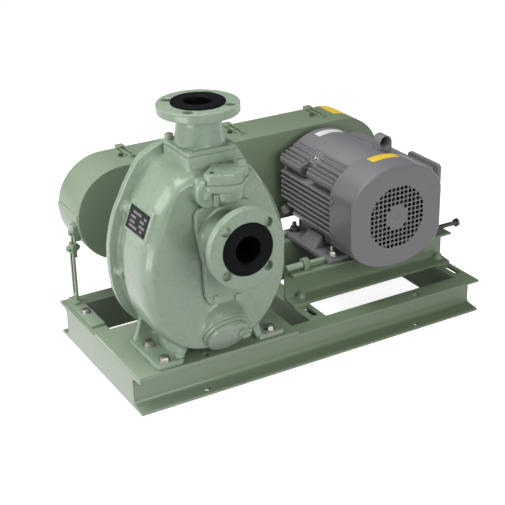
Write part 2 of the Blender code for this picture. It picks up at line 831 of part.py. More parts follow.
FOOT_Z = FR_Z1 + GAP
BODY_Y0 = COWL_Y1 + GAP
BODY_R = 110.5
WALL = 88.0
FIN_TIP = 106.0
top_from = math.acos(WALL / BODY_R)
body_outline = [(70, -84), (WALL, -66)]
for i in range(17):
    a = top_from + (math.pi - 2 * top_from) * i / 16
    body_outline.append((BODY_R * math.cos(a), BODY_R * math.sin(a)))
body_outline += [(-WALL, -66), (-70, -84)]
body = prism("motor_body", [(MOT_X + u, MOT_Z + v) for u, v in body_outline], "Y", BODY_Y0, BODY_Y1)
for s in (-1, 1):
    side_name = "left" if s < 0 else "right"
    for i in range(8):
        z = 211.0 + i * 11.55
        xs = sorted((MOT_X + s * 80, MOT_X + s * FIN_TIP))
        back = (264, 290)[i] if i < 2 else BODY_Y1 - 2
        fin = box(f"add_fin_{side_name}_{i}", xs[0], xs[1], BODY_Y0 + 2, back, z, z + 4.5, helper=True)
        fuse(body, fin)
    # seats for the feet
    xs = sorted((MOT_X + s * 60, MOT_X + s * 86))
    fuse(body, box(f"add_foot_seat_{side_name}", xs[0], xs[1], 114, 262, 176, 196, helper=True))
# two shoulder pads on the left, one long pedestal for the terminal box on the right
shoulders = (
    ("left_front", -1, BODY_Y0 + 3, 210, [(107, 56), (107, 68), (103, 71.5), (82, 77), (60, 70), (60, 40), (98, 44)]),
    ("left_rear", -1, 237, BODY_Y1 - 0.5, [(107, 56), (107, 68), (103, 71.5), (82, 77), (60, 70), (60, 40), (98, 44)]),
    ("right", 1, BODY_Y0 + 3, BODY_Y1 - 0.5, [(107, 56), (107, 80), (102, 84.5), (72, 88), (50, 70), (60, 40), (98, 44)]),
)
for label, s, y0, y1, outline in shoulders:
    fuse(body, prism("add_shoulder_" + label, [(MOT_X + s * u, MOT_Z + v) for u, v in outline], "Y", y0, y1, helper=True))
fuse(body, box("add_box_seat", MOT_X + 70, MOT_X + 108, 113, 195, 255, 311, helper=True))
seat(dress(body, GREY, 0.45), MOT_X, BODY_Y0, MOT_Z)

shield_body = turned(
    "motor_drive_end_shield",
    MOT_X,
    MOT_Z,
    "Y",
    [
        (96, BODY_Y1 + GAP), (96, BODY_Y1 + 8), (90, BODY_Y1 + 12), (70, BODY_Y1 + 18),
        (52, SHIELD_Y1 - 2), (48, SHIELD_Y1),
    ],
)
seat(dress(shield_body, GREY, 0.45), MOT_X, BODY_Y1 + GAP, MOT_Z)
motor_shaft = turned(
    "motor_shaft", MOT_X, MOT_Z, "Y", [(20, SHIELD_Y1 + GAP), (20, 374.7), (14, 374.7), (14, 432)], 32
)
seat(dress(motor_shaft, STEEL, 0.25, 1.0), MOT_X, SHIELD_Y1 + GAP, MOT_Z)


def motor_foot(name, s):
    """Foot pad with a wedge-shaped rib up to the body."""
    xs = sorted((MOT_X + s * 117, MOT_X + s * 60))
    ob = prism(name, rounded(xs[0], xs[1], 109, 293, 5, 3), "Z", FOOT_Z, FOOT_Z + 12)
    rib = prism(
        "add_" + name + "_rib",
        [
            (MOT_X + s * 113, FOOT_Z + 4),
            (MOT_X + s * 113, FOOT_Z + 12),
            (MOT_X + s * 92, 189),
            (MOT_X + s * 88.4, 189),
            (MOT_X + s * 88.4, 175.7),
            (MOT_X + s * 62, 175.7),
            (MOT_X + s * 62, FOOT_Z + 4),
        ],
        "Y",
        168,
        224,
        helper=True,
    )
    fuse(ob, rib)
    return seat(dress(ob, GREY, 0.45), MOT_X + s * 90, 200, FOOT_Z)


motor_foot("motor_foot_left", -1)
motor_foot("motor_foot_right", 1)

TB_X0 = MOT_X + 108 + GAP
terminal = prism("terminal_box", rounded(109, 198, 252, 314, 6), "X", TB_X0, TB_X0 + 48)
seat(dress(terminal, GREY, 0.45), TB_X0, 156, 278)
terminal_lid = prism("terminal_box_lid", rounded(95, 205, 248, 323, 8), "X", TB_X0 + 48 + GAP, TB_X0 + 58)
seat(dress(terminal_lid, GREY, 0.45), TB_X0 + 48 + GAP, 156, 278)
gland = turned(
    "cable_gland", TB_X0 + 24, 156, "Z", [(9, 214), (11, 216), (11, 228), (15, 228), (15, 251.7)], 24
)
seat(dress(gland, BLACK, 0.5), TB_X0 + 24, 156, 251.7)

EYE_Z = 383.0
eye_outline = [(MOT_X + u, MOT_Z + math.sqrt(111.1 ** 2 - u * u)) for u in (30, 35, 40, 45, 50, 55, 60, 62)]
eye_outline += [
    (MOT_X + 46 + 16 * math.cos(math.radians(a)), EYE_Z + 16 * math.sin(math.radians(a))) for a in range(0, 181, 12)
]
eye_ring = prism("lifting_eye", eye_outline, "Y", 137, 163)
cut(eye_ring, bore("cut_eye", MOT_X + 46, EYE_Z + 1, "Y", 9.5, 130, 170, 24))
seat(dress(eye_ring, GREY, 0.4), MOT_X + 46, 150, 363)


JACK_Z = FR_Z1 + 10.8


def jack_lug(name, y, x0, x1):
    """Upright lug with a round top and a clearance hole, welded to the frame flange."""
    z0 = FR_Z1 - 1
    top = JACK_Z + 3
    outline = [(y - 11, z0), (y + 11, z0)]
    outline += [(y + 11 * math.cos(math.radians(a)), top + 11 * math.sin(math.radians(a))) for a in range(0, 181, 20)]
    lug = prism(name, outline, "X", x0, x1, helper=True)
    return lug, bore("cut_" + name, y, JACK_Z, "X", 5.4, x0 - 3, x1 + 3, 20)


def jack_bolt(name, y, x_tip, x_lock, x_head):
    """Screw that pushes on the motor foot: shank, lock nut and hexagon head."""
    s = 1 if x_head > x_tip else -1
    shank = bore(name, y, JACK_Z, "X", 5.0, min(x_tip, x_head - s * 2), max(x_tip, x_head - s * 2), 24, helper=False)
    head = bore("add_" + name + "_head", y, JACK_Z, "X", 9.8, min(x_head, x_head - s * 7), max(x_head, x_head - s * 7), 6)
    nut = bore("add_" + name + "_nut", y, JACK_Z, "X", 9.8, min(x_lock, x_lock + s * 7), max(x_lock, x_lock + s * 7), 6)
    fuse(shank, head, nut)
    return seat(dress(shank, STEEL, 0.3, 1.0), x_lock, y, JACK_Z)


for frame, face_name, y in ((frame_front, "front", FRAME_Y0 + 19), (frame_rear, "rear", WIDTH - FRAME_Y0 - 19)):
    for side_name, x0, x1 in (("left", 438, 452), ("right", 770, 784)):
        lug, hole = jack_lug(f"add_jack_lug_{face_name}_{side_name}", y, x0, x1)
        fuse(frame, lug)
        cut(frame, hole)
    jack_bolt(f"jack_bolt_{face_name}_left", y, MOT_X - 117 - GAP, 438 - GAP, 423)
    jack_bolt(f"jack_bolt_{face_name}_right", y, MOT_X + 117 + GAP, 784 + GAP, 852)
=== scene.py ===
import math
from math import cos, pi, radians, sin, sqrt

import bmesh
import bpy
import numpy as np
from mathutils import Matrix, Vector


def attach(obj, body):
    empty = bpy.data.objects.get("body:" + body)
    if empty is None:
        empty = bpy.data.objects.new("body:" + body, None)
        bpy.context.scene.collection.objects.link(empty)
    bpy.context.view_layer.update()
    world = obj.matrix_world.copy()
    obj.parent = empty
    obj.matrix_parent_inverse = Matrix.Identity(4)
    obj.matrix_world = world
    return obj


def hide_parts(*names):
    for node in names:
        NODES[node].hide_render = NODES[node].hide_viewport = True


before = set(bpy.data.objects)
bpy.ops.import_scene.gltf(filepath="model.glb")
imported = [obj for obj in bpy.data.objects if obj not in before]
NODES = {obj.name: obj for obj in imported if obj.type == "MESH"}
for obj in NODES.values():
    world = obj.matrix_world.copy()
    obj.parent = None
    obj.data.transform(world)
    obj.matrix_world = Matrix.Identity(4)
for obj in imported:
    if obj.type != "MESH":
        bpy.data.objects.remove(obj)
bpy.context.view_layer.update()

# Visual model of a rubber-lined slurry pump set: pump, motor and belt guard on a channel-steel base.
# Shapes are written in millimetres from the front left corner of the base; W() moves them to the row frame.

scene = bpy.context.scene


def W(x, y, z):
    return ((x - 410.0) * 0.001, (y - 200.0) * 0.001, z * 0.001)


# ---------------------------------------------------------------- materials


def start(name):
    m = bpy.data.materials.new(name)
    m.use_nodes = True
    nt = m.node_tree
    b = nt.nodes["Principled BSDF"]
    tc = nt.nodes.new("ShaderNodeTexCoord")
    return m, nt, b, tc.outputs["Object"]


def noise(nt, co, scale, detail=3.0, rough=0.55, distortion=0.0):
    n = nt.nodes.new("ShaderNodeTexNoise")
    n.inputs["Scale"].default_value = scale
    n.inputs["Detail"].default_value = detail
    n.inputs["Roughness"].default_value = rough
    n.inputs["Distortion"].default_value = distortion
    nt.links.new(co, n.inputs["Vector"])
    return n.outputs["Fac"]


def remap(nt, value, a, b, lo, hi):
    n = nt.nodes.new("ShaderNodeMapRange")
    for key, v in (("From Min", a), ("From Max", b), ("To Min", lo), ("To Max", hi)):
        n.inputs[key].default_value = v
    nt.links.new(value, n.inputs["Value"])
    return n.outputs["Result"]


def mix(nt, fac, a, b, mode="MIX"):
    n = nt.nodes.new("ShaderNodeMix")
    n.data_type = "RGBA"
    n.blend_type = mode
    for key, v in ((0, fac), (6, a), (7, b)):
        if isinstance(v, (float, int)):
            n.inputs[key].default_value = v
        elif isinstance(v, tuple):
            n.inputs[key].default_value = (*v, 1.0)
        else:
            nt.links.new(v, n.inputs[key])
    return n.outputs[2]


def bumps(nt, b, layers):
    """Layers of (height socket, amplitude in metres)."""
    last = None
    for height, amount in layers:
        n = nt.nodes.new("ShaderNodeBump")
        n.inputs["Strength"].default_value = 1.0
        n.inputs["Distance"].default_value = amount
        nt.links.new(height, n.inputs["Height"])
        if last is not None:
            nt.links.new(last, n.inputs["Normal"])
        last = n.outputs["Normal"]
    nt.links.new(last, b.inputs["Normal"])


def shade(colour, k):
    return tuple(min(1.0, c * k) for c in colour)


def paint(name, colour, gloss=0.26, cast=1.0, coat=0.25, hollow_shade=0.3, warm=(1.02, 1.0, 0.96), edge=0.2, tone_spread_and_painted_light=0.0):
    """Sprayed enamel: soft tone changes, painted shade in hollows, a painted highlight on edges, casting grain and
    orange peel under the gloss.
    """
    m, nt, b, co = start(name)
    tone = remap(nt, noise(nt, co, 9.0, 4.0, 0.6), 0.3, 0.7, 0.0, 1.0)
    a = shade(colour, 0.98)
    c = tuple(min(1.0, x * w * 1.02) for x, w in zip(colour, warm))
    body = mix(nt, tone, a, c)
    geo = nt.nodes.new("ShaderNodeNewGeometry")
    if hollow_shade:
        # painted shade: hollows turn darker and yellower, as shade falls there
        hollow = remap(nt, geo.outputs["Pointiness"], 0.492, 0.44, 0.0, hollow_shade)
        body = mix(nt, hollow, body, shade((colour[0] * 0.95, colour[1] * 0.92, colour[2] * 0.7), 0.4))
    if edge:
        # painted highlight: convex edges turn lighter, standing for the glints on the enamel's edges
        ridge = remap(nt, geo.outputs["Pointiness"], 0.515, 0.60, 0.0, edge)
        body = mix(nt, ridge, body, shade(colour, 1.35))
    if tone_spread_and_painted_light:
        # painted light: paler towards the pump end of the base, and painted shade darker towards the motor end,
        # following how the light falls along the set
        xyz = nt.nodes.new("ShaderNodeSeparateXYZ")
        nt.links.new(co, xyz.inputs[0])
        body = mix(nt, remap(nt, xyz.outputs["X"], 0.04, -0.38, 0.0, tone_spread_and_painted_light), body, (0.42, 0.50, 0.41))
        body = mix(nt, remap(nt, xyz.outputs["X"], -0.02, 0.34, 0.0, min(1.0, 1.6 * tone_spread_and_painted_light)), body, shade((colour[0] * 0.98, colour[1], colour[2] * 0.82), 0.55))
    nt.links.new(body, b.inputs["Base Color"])
    dull = noise(nt, co, 34.0, 5.0, 0.65)
    nt.links.new(remap(nt, dull, 0.25, 0.75, gloss - 0.02, gloss + 0.04), b.inputs["Roughness"])
    b.inputs["Coat Weight"].default_value = coat
    b.inputs["Coat Roughness"].default_value = 0.09
    b.inputs["Specular IOR Level"].default_value = 0.5
    bumps(
        nt,
        b,
        [
            (noise(nt, co, 26.0, 2.0, 0.5), 0.00022 * cast),
            (noise(nt, co, 150.0, 3.0, 0.5), 0.00006 * cast),
            (noise(nt, co, 900.0, 2.0, 0.5), 0.000010),
        ],
    )
    return m


def metal(name, colour, rough=0.3, brushed=0.0, stain=0.2, metallic=1.0):
    m, nt, b, co = start(name)
    tone = remap(nt, noise(nt, co, 120.0, 4.0, 0.6), 0.3, 0.7, 0.0, 1.0)
    body = mix(nt, tone, shade(colour, 0.82), shade(colour, 1.12))
    blot = remap(nt, noise(nt, co, 45.0, 5.0, 0.7), 0.55, 0.75, 0.0, stain)
    body = mix(nt, blot, body, (colour[0] * 0.45, colour[1] * 0.40, colour[2] * 0.33))
    nt.links.new(body, b.inputs["Base Color"])
    nt.links.new(remap(nt, noise(nt, co, 300.0, 3.0), 0.3, 0.7, rough - 0.07, rough + 0.12), b.inputs["Roughness"])
    b.inputs["Metallic"].default_value = metallic
    bumps(nt, b, [(noise(nt, co, 700.0, 3.0, 0.6), 0.00003), (noise(nt, co, 110.0, 2.0), 0.00008)])
    return m


def rubber(name, colour=(0.0026, 0.0032, 0.0038)):
    m, nt, b, co = start(name)
    dust = remap(nt, noise(nt, co, 60.0, 6.0, 0.7), 0.42, 0.75, 0.0, 0.35)
    nt.links.new(mix(nt, dust, colour, shade(colour, 2.2)), b.inputs["Base Color"])
    nt.links.new(remap(nt, noise(nt, co, 200.0, 4.0), 0.3, 0.7, 0.42, 0.62), b.inputs["Roughness"])
    b.inputs["Specular IOR Level"].default_value = 0.07
    bumps(nt, b, [(noise(nt, co, 130.0, 3.0), 0.0001), (noise(nt, co, 1100.0, 3.0, 0.7), 0.00005)])
    return m


def plastic(name, colour, rough=0.45, tone_spread_and_painted_light=0.12):
    m, nt, b, co = start(name)
    tone = remap(nt, noise(nt, co, 70.0, 4.0, 0.6), 0.3, 0.7, 0.0, 1.0)
    nt.links.new(mix(nt, tone, shade(colour, 1 - tone_spread_and_painted_light), shade(colour, 1 + tone_spread_and_painted_light)), b.inputs["Base Color"])
    nt.links.new(remap(nt, noise(nt, co, 260.0, 3.0), 0.3, 0.7, rough - 0.06, rough + 0.08), b.inputs["Roughness"])
    bumps(nt, b, [(noise(nt, co, 900.0, 3.0, 0.6), 0.00003)])
    return m


GREEN = (0.276, 0.368, 0.276)
GREY = (0.184, 0.182, 0.194)
# darker, yellower copy of the green paint: painted shade on the steel base and the belt guard
SHADED_GREEN = (0.203, 0.274, 0.180)
CAST = paint("enamel_cast", GREEN, gloss=0.27, cast=0.8, coat=0.25)
STEELP = paint("enamel_steel", SHADED_GREEN, gloss=0.30, cast=0.2, coat=0.3, hollow_shade=0.0, edge=0.0, tone_spread_and_painted_light=0.22)
SHEETP = paint("enamel_sheet", shade(SHADED_GREEN, 1.0), gloss=0.36, cast=0.25, coat=0.15, hollow_shade=0.0, edge=0.0, tone_spread_and_painted_light=0.24)
BOLTP = paint("enamel_bolts", shade(GREEN, 1.04), gloss=0.22, cast=0.4, coat=0.3)
MOTORP = paint("motor_paint_cast", GREY, gloss=0.40, cast=0.7, coat=0.08, warm=(1.02, 1.0, 1.0))
MOTORS = paint("motor_paint_sheet", shade(GREY, 1.02), gloss=0.36, cast=0.2, coat=0.15, hollow_shade=0.0, warm=(1.0, 1.0, 1.02), edge=0.0)
ZINC = metal("zinc_plate", (0.50, 0.49, 0.46), 0.27)
BRIGHT = metal("ground_steel", (0.55, 0.54, 0.52), 0.22, stain=0.1)
DARKST = metal("oiled_steel", (0.16, 0.15, 0.145), 0.34, stain=0.3)
IRON = metal("machined_iron", (0.20, 0.195, 0.19), 0.42, stain=0.35)
RUBBER = rubber("lining_rubber")
BELTR = rubber("belt_rubber", (0.014, 0.014, 0.014))
BLACKP = plastic("black_plastic", (0.022, 0.022, 0.024), 0.42)
FANP = plastic("fan_plastic", (0.016, 0.016, 0.018), 0.5)
YELLOW = plastic("label_yellow", (0.86, 0.60, 0.030), 0.34, 0.06)
WHITE = plastic("label_white", (0.70, 0.70, 0.68), 0.36, 0.05)
PLATEB = plastic("etched_black_plate", (0.006, 0.0075, 0.006), 0.5)
PLATEB.node_tree.nodes["Principled BSDF"].inputs["Specular IOR Level"].default_value = 0.22
FIELD = plastic("etched_field", (0.20, 0.185, 0.20), 0.45)

# ---------------------------------------------------------------- mesh tools


def join(*parts):
    v, f = [], []
    for pv, pf in parts:
        n = len(v)
        v.extend(pv)
        f.extend([[i + n for i in q] for q in pf])
    return v, f


def to_bm(part):
    bm = bmesh.new()
    vs = [bm.verts.new(p) for p in part[0]]
    for q in part[1]:
        try:
            bm.faces.new([vs[i] for i in q])
        except ValueError:
            pass
    bmesh.ops.recalc_face_normals(bm, faces=bm.faces)
    return bm


def from_bm(bm):
    bm.verts.index_update()
    out = [tuple(v.co) for v in bm.verts], [[v.index for v in f.verts] for f in bm.faces]
    bm.free()
    return out


def piece(name, part, mat, replaces=(), angle=34.0):
    """Shown piece from a part in millimetres."""
    bm = to_bm(part)
    me = bpy.data.meshes.new(name)
    bm.to_mesh(me)
    bm.free()
    me.transform(Matrix.Translation((-0.41, -0.2, 0.0)) @ Matrix.Scale(0.001, 4))
    me.shade_smooth()
    me.set_sharp_from_angle(angle=radians(angle))
    ob = bpy.data.objects.new(name, me)
    scene.collection.objects.link(ob)
    me.materials.append(mat)
    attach(ob, "root")
    if replaces:
        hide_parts(*replaces)
    return ob


def bev(part, width, seg=2, angle=30.0, only=None):
    """Rounds the edges sharper than the angle; only(p, q) may choose among them."""
    bm = to_bm(part)
    edges = [e for e in bm.edges if len(e.link_faces) == 2 and e.calc_face_angle(0.0) > radians(angle)]
    if only:
        edges = [e for e in edges if only(e.verts[0].co, e.verts[1].co)]
    bmesh.ops.bevel(
        bm, geom=edges, offset=width, offset_type="OFFSET", segments=seg, profile=0.5, affect="EDGES", clamp_overlap=True
    )
    return from_bm(bm)


def temp(part):
    bm = to_bm(part)
    me = bpy.data.meshes.new("temp")
    bm.to_mesh(me)
    bm.free()
    ob = bpy.data.objects.new("temp", me)
    scene.collection.objects.link(ob)
    return ob


def evaluated(ob):
    bpy.context.view_layer.update()
    me = bpy.data.meshes.new_from_object(ob.evaluated_get(bpy.context.evaluated_depsgraph_get()))
    return me


def csg(part, other, operation="DIFFERENCE"):
    a, b = temp(part), temp(other)
    m = a.modifiers.new("csg", "BOOLEAN")
    m.operation = operation
    m.solver = "EXACT"
    m.object = b
    me = evaluated(a)
    out = [tuple(v.co) for v in me.vertices], [list(p.vertices) for p in me.polygons]
    for o in (a, b):
        bpy.data.objects.remove(o, do_unlink=True)
    bpy.data.meshes.remove(me)
    return out


def put(axis, u, v, w):
    return {"X": (w, u, v), "Y": (u, w, v), "Z": (u, v, w)}[axis]


def pull(outline, axis, a, b):
    """Closed prism of an outline across the axis."""
    n = len(outline)
    v = [put(axis, p[0], p[1], a) for p in outline] + [put(axis, p[0], p[1], b) for p in outline]
    f = [list(range(n)), list(range(n, 2 * n))[::-1]]
    f += [[i, (i + 1) % n, n + (i + 1) % n, n + i] for i in range(n)]
    return v, f


def block(x0, x1, y0, y1, z0, z1, r=0.0, seg=2):
    part = pull([(x0, y0), (x1, y0), (x1, y1), (x0, y1)], "Z", z0, z1)
    return bev(part, r, seg) if r else part


def axes_of(d):
    z = Vector(d).normalized()
    h = Vector((0, 0, 1)) if abs(z.z) < 0.9 else Vector((1, 0, 0))
    x = (h - z * h.dot(z)).normalized()
    return x, z.cross(x), z


def place(part, at, d, spin=0.0):
    """Part drawn about Z is moved to a point and laid along d."""
    ex, ey, ez = axes_of(d)
    o = Vector(at)
    c, s = cos(spin), sin(spin)
    out = []
    for x, y, z in part[0]:
        out.append(tuple(o + ex * (x * c - y * s) + ey * (x * s + y * c) + ez * z))
    return out, part[1]


def lathe(profile, at, d, n=64, closed=False):
    """Turned part: profile of (radius, distance along d)."""
    ex, ey, ez = axes_of(d)
    o = Vector(at)
    v, f, rows = [], [], []
    profile = list(profile)
    if not closed:
        if profile[0][0] > 1e-6:
            profile.insert(0, (0.0, profile[0][1]))
        if profile[-1][0] > 1e-6:
            profile.append((0.0, profile[-1][1]))
    for r, h in profile:
        if r < 1e-6:
            rows.append([len(v)])
            v.append(tuple(o + ez * h))
        else:
            rows.append(list(range(len(v), len(v) + n)))
            for i in range(n):
                a = 2 * pi * i / n
                v.append(tuple(o + ez * h + (ex * cos(a) + ey * sin(a)) * r))
    pairs = list(zip(rows, rows[1:])) + ([(rows[-1], rows[0])] if closed else [])
    for a, b in pairs:
        for i in range(n):
            j = (i + 1) % n
            if len(a) == 1 and len(b) == 1:
                continue
            if len(a) == 1:
                f.append([a[0], b[j], b[i]])
            elif len(b) == 1:
                f.append([a[i], a[j], b[0]])
            else:
                f.append([a[i], a[j], b[j], b[i]])
    return v, f


def soft(pts, closed=False, seg=5):
    """Path of (u, v) or (u, v, r) with its corners rounded to r."""
    out = []
    n = len(pts)
    for i, p in enumerate(pts):
        r = p[2] if len(p) > 2 else 0.0
        b = Vector(p[:2])
        if r <= 0 or (not closed and i in (0, n - 1)):
            out.append(tuple(b))
            continue
        p1 = (Vector(pts[i - 1][:2]) - b)
        p2 = (Vector(pts[(i + 1) % n][:2]) - b)
        l1, l2 = p1.length, p2.length
        p1.normalize()
        p2.normalize()
        ang = p1.angle(p2)
        if ang > radians(177) or ang < radians(3):
            out.append(tuple(b))
            continue
        t = min(r / math.tan(ang / 2), 0.48 * l1, 0.48 * l2)
        rr = t * math.tan(ang / 2)
        c = b + (p1 + p2).normalized() * (rr / sin(ang / 2))
        s, e = b + p1 * t - c, b + p2 * t - c
        a0, a1 = math.atan2(s.y, s.x), math.atan2(e.y, e.x)
        da = (a1 - a0 + pi) % (2 * pi) - pi
        for k in range(seg + 1):
            a = a0 + da * k / seg
            out.append((c.x + rr * cos(a), c.y + rr * sin(a)))
    return out


def corners(x0, x1, y0, y1, r, seg=6):
    return soft([(x0, y0, r), (x1, y0, r), (x1, y1, r), (x0, y1, r)], True, seg)


def tube(points, r, n=10, squash=1.0):
    """Closed bar of round section along a line of points; r may be a list."""
    pts = [Vector(p) for p in points]
    radii = r if isinstance(r, (list, tuple)) else [r] * len(pts)
    v, f, rows = [], [], []
    up = None
    for i, p in enumerate(pts):
        d = (pts[min(i + 1, len(pts) - 1)] - pts[max(i - 1, 0)]).normalized()
        if up is None:
            up = Vector((0, 0, 1)) if abs(d.z) < 0.9 else Vector((1, 0, 0))
        x = (up - d * up.dot(d)).normalized()
        up = x
        y = d.cross(x)
        rows.append(list(range(len(v), len(v) + n)))
        for k in range(n):
            a = 2 * pi * k / n
            v.append(tuple(p + (x * cos(a) * squash + y * sin(a)) * radii[i]))
    for a, b in zip(rows, rows[1:]):
        for k in range(n):
            j = (k + 1) % n
            f.append([a[k], a[j], b[j], b[k]])
    f.append(rows[0])
    f.append(rows[-1][::-1])
    return v, f


def weld(p, q, r=2.6, seed=0):
    """Fillet weld bead from p to q with its ripples."""
    p, q = Vector(p), Vector(q)
    length = (q - p).length
    n = max(6, int(length / 1.3))
    pts, radii = [], []
    for i in range(n + 1):
        t = i / n
        wob = 0.35 * sin(i * 0.83 + seed) + 0.2 * sin(i * 0.31 + 2.1 * seed)
        pts.append(p.lerp(q, t) + Vector((0.0, 0.0, 0.18 * wob)))
        end = min(1.0, 0.45 + 3.0 * min(t, 1 - t) * length / 12.0)
        radii.append((r * (1.0 + 0.10 * (1 if i % 3 == 0 else -0.4) + 0.07 * wob)) * end)
    return tube(pts, radii, 10)


# ---------------------------------------------------------------- fasteners


def hexhead(af, h, n=48, dome=0.0):
    """Hexagon with the turned chamfer on its outer face, standing on Z 0."""
    flat = af / 2
    rf = flat * 0.95
    ring0, ring1, ring2 = [], [], []
    for i in range(n):
        a = 2 * pi * i / n
        k = ((a + pi / 6) % (pi / 3)) - pi / 6
        r = flat / cos(k)
        z = h - max(0.0, r - rf) * 0.55
        ring0.append((r * cos(a), r * sin(a), 0.0))
        ring1.append((r * cos(a), r * sin(a), z))
        ring2.append((rf * cos(a), rf * sin(a), h))
    v = ring0 + ring1 + ring2 + [(0, 0, h + dome), (0, 0, 0)]
    f = []
    for i in range(n):
        j = (i + 1) % n
        f += [[i, j, n + j, n + i], [n + i, n + j, 2 * n + j, 2 * n + i], [2 * n + i, 2 * n + j, 3 * n], [j, i, 3 * n + 1]]
    return v, f


def washer(r_out, r_in, t):
    return lathe(soft([(r_in, 0), (r_out, 0, 0.3), (r_out, t, 0.4), (r_in, t)], True, 2), (0, 0, 0), (0, 0, 1), 32, True)


def thread(r, a, b, pitch=1.5, n=20):
    """Threaded bar from a to b with a chamfered end at b."""
    prof = [(r - 0.9, a)]
    z = a
    while z < b - 1.2:
        prof += [(r, z + pitch * 0.3), (r - pitch * 0.42, z + pitch * 0.8)]
        z += pitch
    prof += [(r - 0.1, b - 1.0), (r - 1.0, b)]
    return lathe(prof, (0, 0, 0), (0, 0, 1), n)


def bolt(at, d, af=13.0, head=5.5, wash=True, stud=0.0, r=None, spin=0.3):
    """Hexagon head or nut on a washer; stud gives the thread that stands above it."""
    r = r or af / 3.3
    parts = []
    z = 0.0
    if wash:
        parts.append(washer(af * 0.72, r * 0.9, af * 0.11))
        z = af * 0.11
    hexagon = hexhead(af, head)
    parts.append(([(x, y, w + z) for x, y, w in hexagon[0]], hexagon[1]))
    if stud:
        parts.append(thread(r, z + head * 0.5, z + head + stud))
    return place(join(*parts), at, d, spin)


def socket_screw(at, d, r=5.0, h=4.0, spin=0.0):
    """Round head with a hexagon recess."""
    n = 24
    prof = soft([(r, 0), (r, h, 0.8), (r * 0.56, h)], False, 3)
    v, f = [], []
    rows = []
    for rr, z in prof:
        rows.append(list(range(len(v), len(v) + n)))
        v += [(rr * cos(2 * pi * i / n), rr * sin(2 * pi * i / n), z) for i in range(n)]
    for z in (h, h * 0.4):
        rows.append(list(range(len(v), len(v) + n)))
        for i in range(n):
            a = 2 * pi * i / n
            k = ((a + pi / 6) % (pi / 3)) - pi / 6
            q = r * 0.46 / cos(k)
            v.append((q * cos(a), q * sin(a), z))
    for a, b in zip(rows, rows[1:]):
        f += [[a[i], a[(i + 1) % n], b[(i + 1) % n], b[i]] for i in range(n)]
    f += [rows[-1], rows[0][::-1]]
    return place((v, f), at, d, spin)


def cross_screw(at, d, r=3.0, spin=0.4):
    head = lathe([(r, 0), (r, 0.5), (r * 0.86, 1.2), (r * 0.5, 1.75), (0, 1.9)], (0, 0, 0), (0, 0, 1), 24)
    slot = join(block(-r * 0.5, r * 0.5, -0.35, 0.35, 1.0, 3.0), block(-0.35, 0.35, -r * 0.5, r * 0.5, 1.0, 3.0))
    head = csg(head, block(-r * 0.55, r * 0.55, -0.4, 0.4, 1.0, 3.0))
    return place(head, at, d, spin)


# ---------------------------------------------------------------- constants shared with the CAD
LENGTH, WIDTH = 820.0, 400.0
CH_H, CH_B = 75.0, 40.0
CROSS_X = 406.0
SOLE_Z = 84.0
SOLE_X, SOLE_Y = 354.0, 211.0
FRAME_X0, FRAME_Y0 = 406.0, 102.0
FR_Z0, FR_Z1 = 75.3, 150.3
PUMP_X, SHAFT_Z = 182.0, 266.0
CASE_Y0, CASE_Y1, RIM_Y1, COVER_Y1 = -5.0, 128.0, 143.0, 156.0
DIS_Y, DIS_Z = 71.0, 577.0
SUC_Z, SUC_Y = 348.0, -103.0
FL_R, FL_T, PCD_R, HOLE_R = 78.0, 17.0, 61.0, 9.5
MOT_X, MOT_Z = 612.0, 262.0
MOT_Y0, COWL_Y1, BODY_Y1, SHIELD_Y1 = 28.0, 108.0, 318.0, 344.0
GU_Y0, GU_Y1, GU_R, GU_XL, GU_XR = 349.0, 457.0, 105.0, 142.0, 688.0

# ---------------------------------------------------------------- base frame


def channel(web_at, s, z0):
    """Rolled channel with tapered flanges, root fillets and rounded toes."""
    pts = [
        (0, 0, 1.0), (CH_B, 0, 1.0), (CH_B, 5.3, 3.4), (5, 8.6, 8.0),
        (5, 66.4, 8.0), (CH_B, 69.7, 3.4), (CH_B, 75, 1.0), (0, 75, 1.0),
    ]
    return [(web_at + s * u, z0 + v) for u, v in soft(pts, True, 5)]


def round_holes(xy, r, z0, z1, n=24):
    return join(*[lathe([(r, z0), (r, z1)], (x, y, 0), (0, 0, 1), n) for x, y in xy])


def slot_hole(x, y0, y1, w, z0, z1):
    h = w / 2
    pts = [(x + h * cos(a), y1 - h + h * sin(a)) for a in [pi * i / 8 for i in range(9)]]
    pts += [(x + h * cos(a), y0 + h + h * sin(a)) for a in [pi + pi * i / 8 for i in range(9)]]
    return pull(pts, "Z", z0, z1)


front = bev(pull(channel(CH_B, -1, 0), "X", 0, LENGTH), 0.5, 1, 60)
front = csg(front, round_holes([(660, 16)], 7.0, 62, 82))
front = csg(front, round_holes([(149, 16), (660, 14)], 7.0, -4, 14))
piece("base_front", front, STEELP, ["base_front_channel"])
piece(
    "base_rear",
    csg(bev(pull(channel(WIDTH - CH_B, 1, 0), "X", 0, LENGTH), 0.5, 1, 60), round_holes([(149, 384), (660, 384)], 7.0, -4, 14)),
    STEELP, ["base_rear_channel"],
)
IN0, IN1 = CH_B + 0.3, WIDTH - CH_B - 0.3
piece("base_left_end", bev(pull(channel(0, 1, 0), "Y", IN0, IN1), 0.5, 1, 60), STEELP, ["base_left_end_channel"])
mid = bev(pull(channel(CROSS_X, 1, 0), "Y", IN0, IN1), 0.5, 1, 60)
mid = csg(mid, slot_hole(CROSS_X + 22, 52, 97, 12, 60, 84))
# painted shade: a dark steel strip under the slot stands for the shade seen through it
piece("slot_shade_strip", block(414, 442, 44, 105, 58, 61.5, 0.8), DARKST)
piece("base_mid_cross", mid, STEELP, ["base_mid_cross_channel"])
right = bev(pull(channel(LENGTH - CH_B, 1, 0), "Y", IN0, IN1), 0.5, 1, 60)
right = csg(right, slot_hole(LENGTH - CH_B + 22, 52, 97, 12, 60, 84))
piece("base_right_end", right, STEELP, ["base_right_end_channel"])

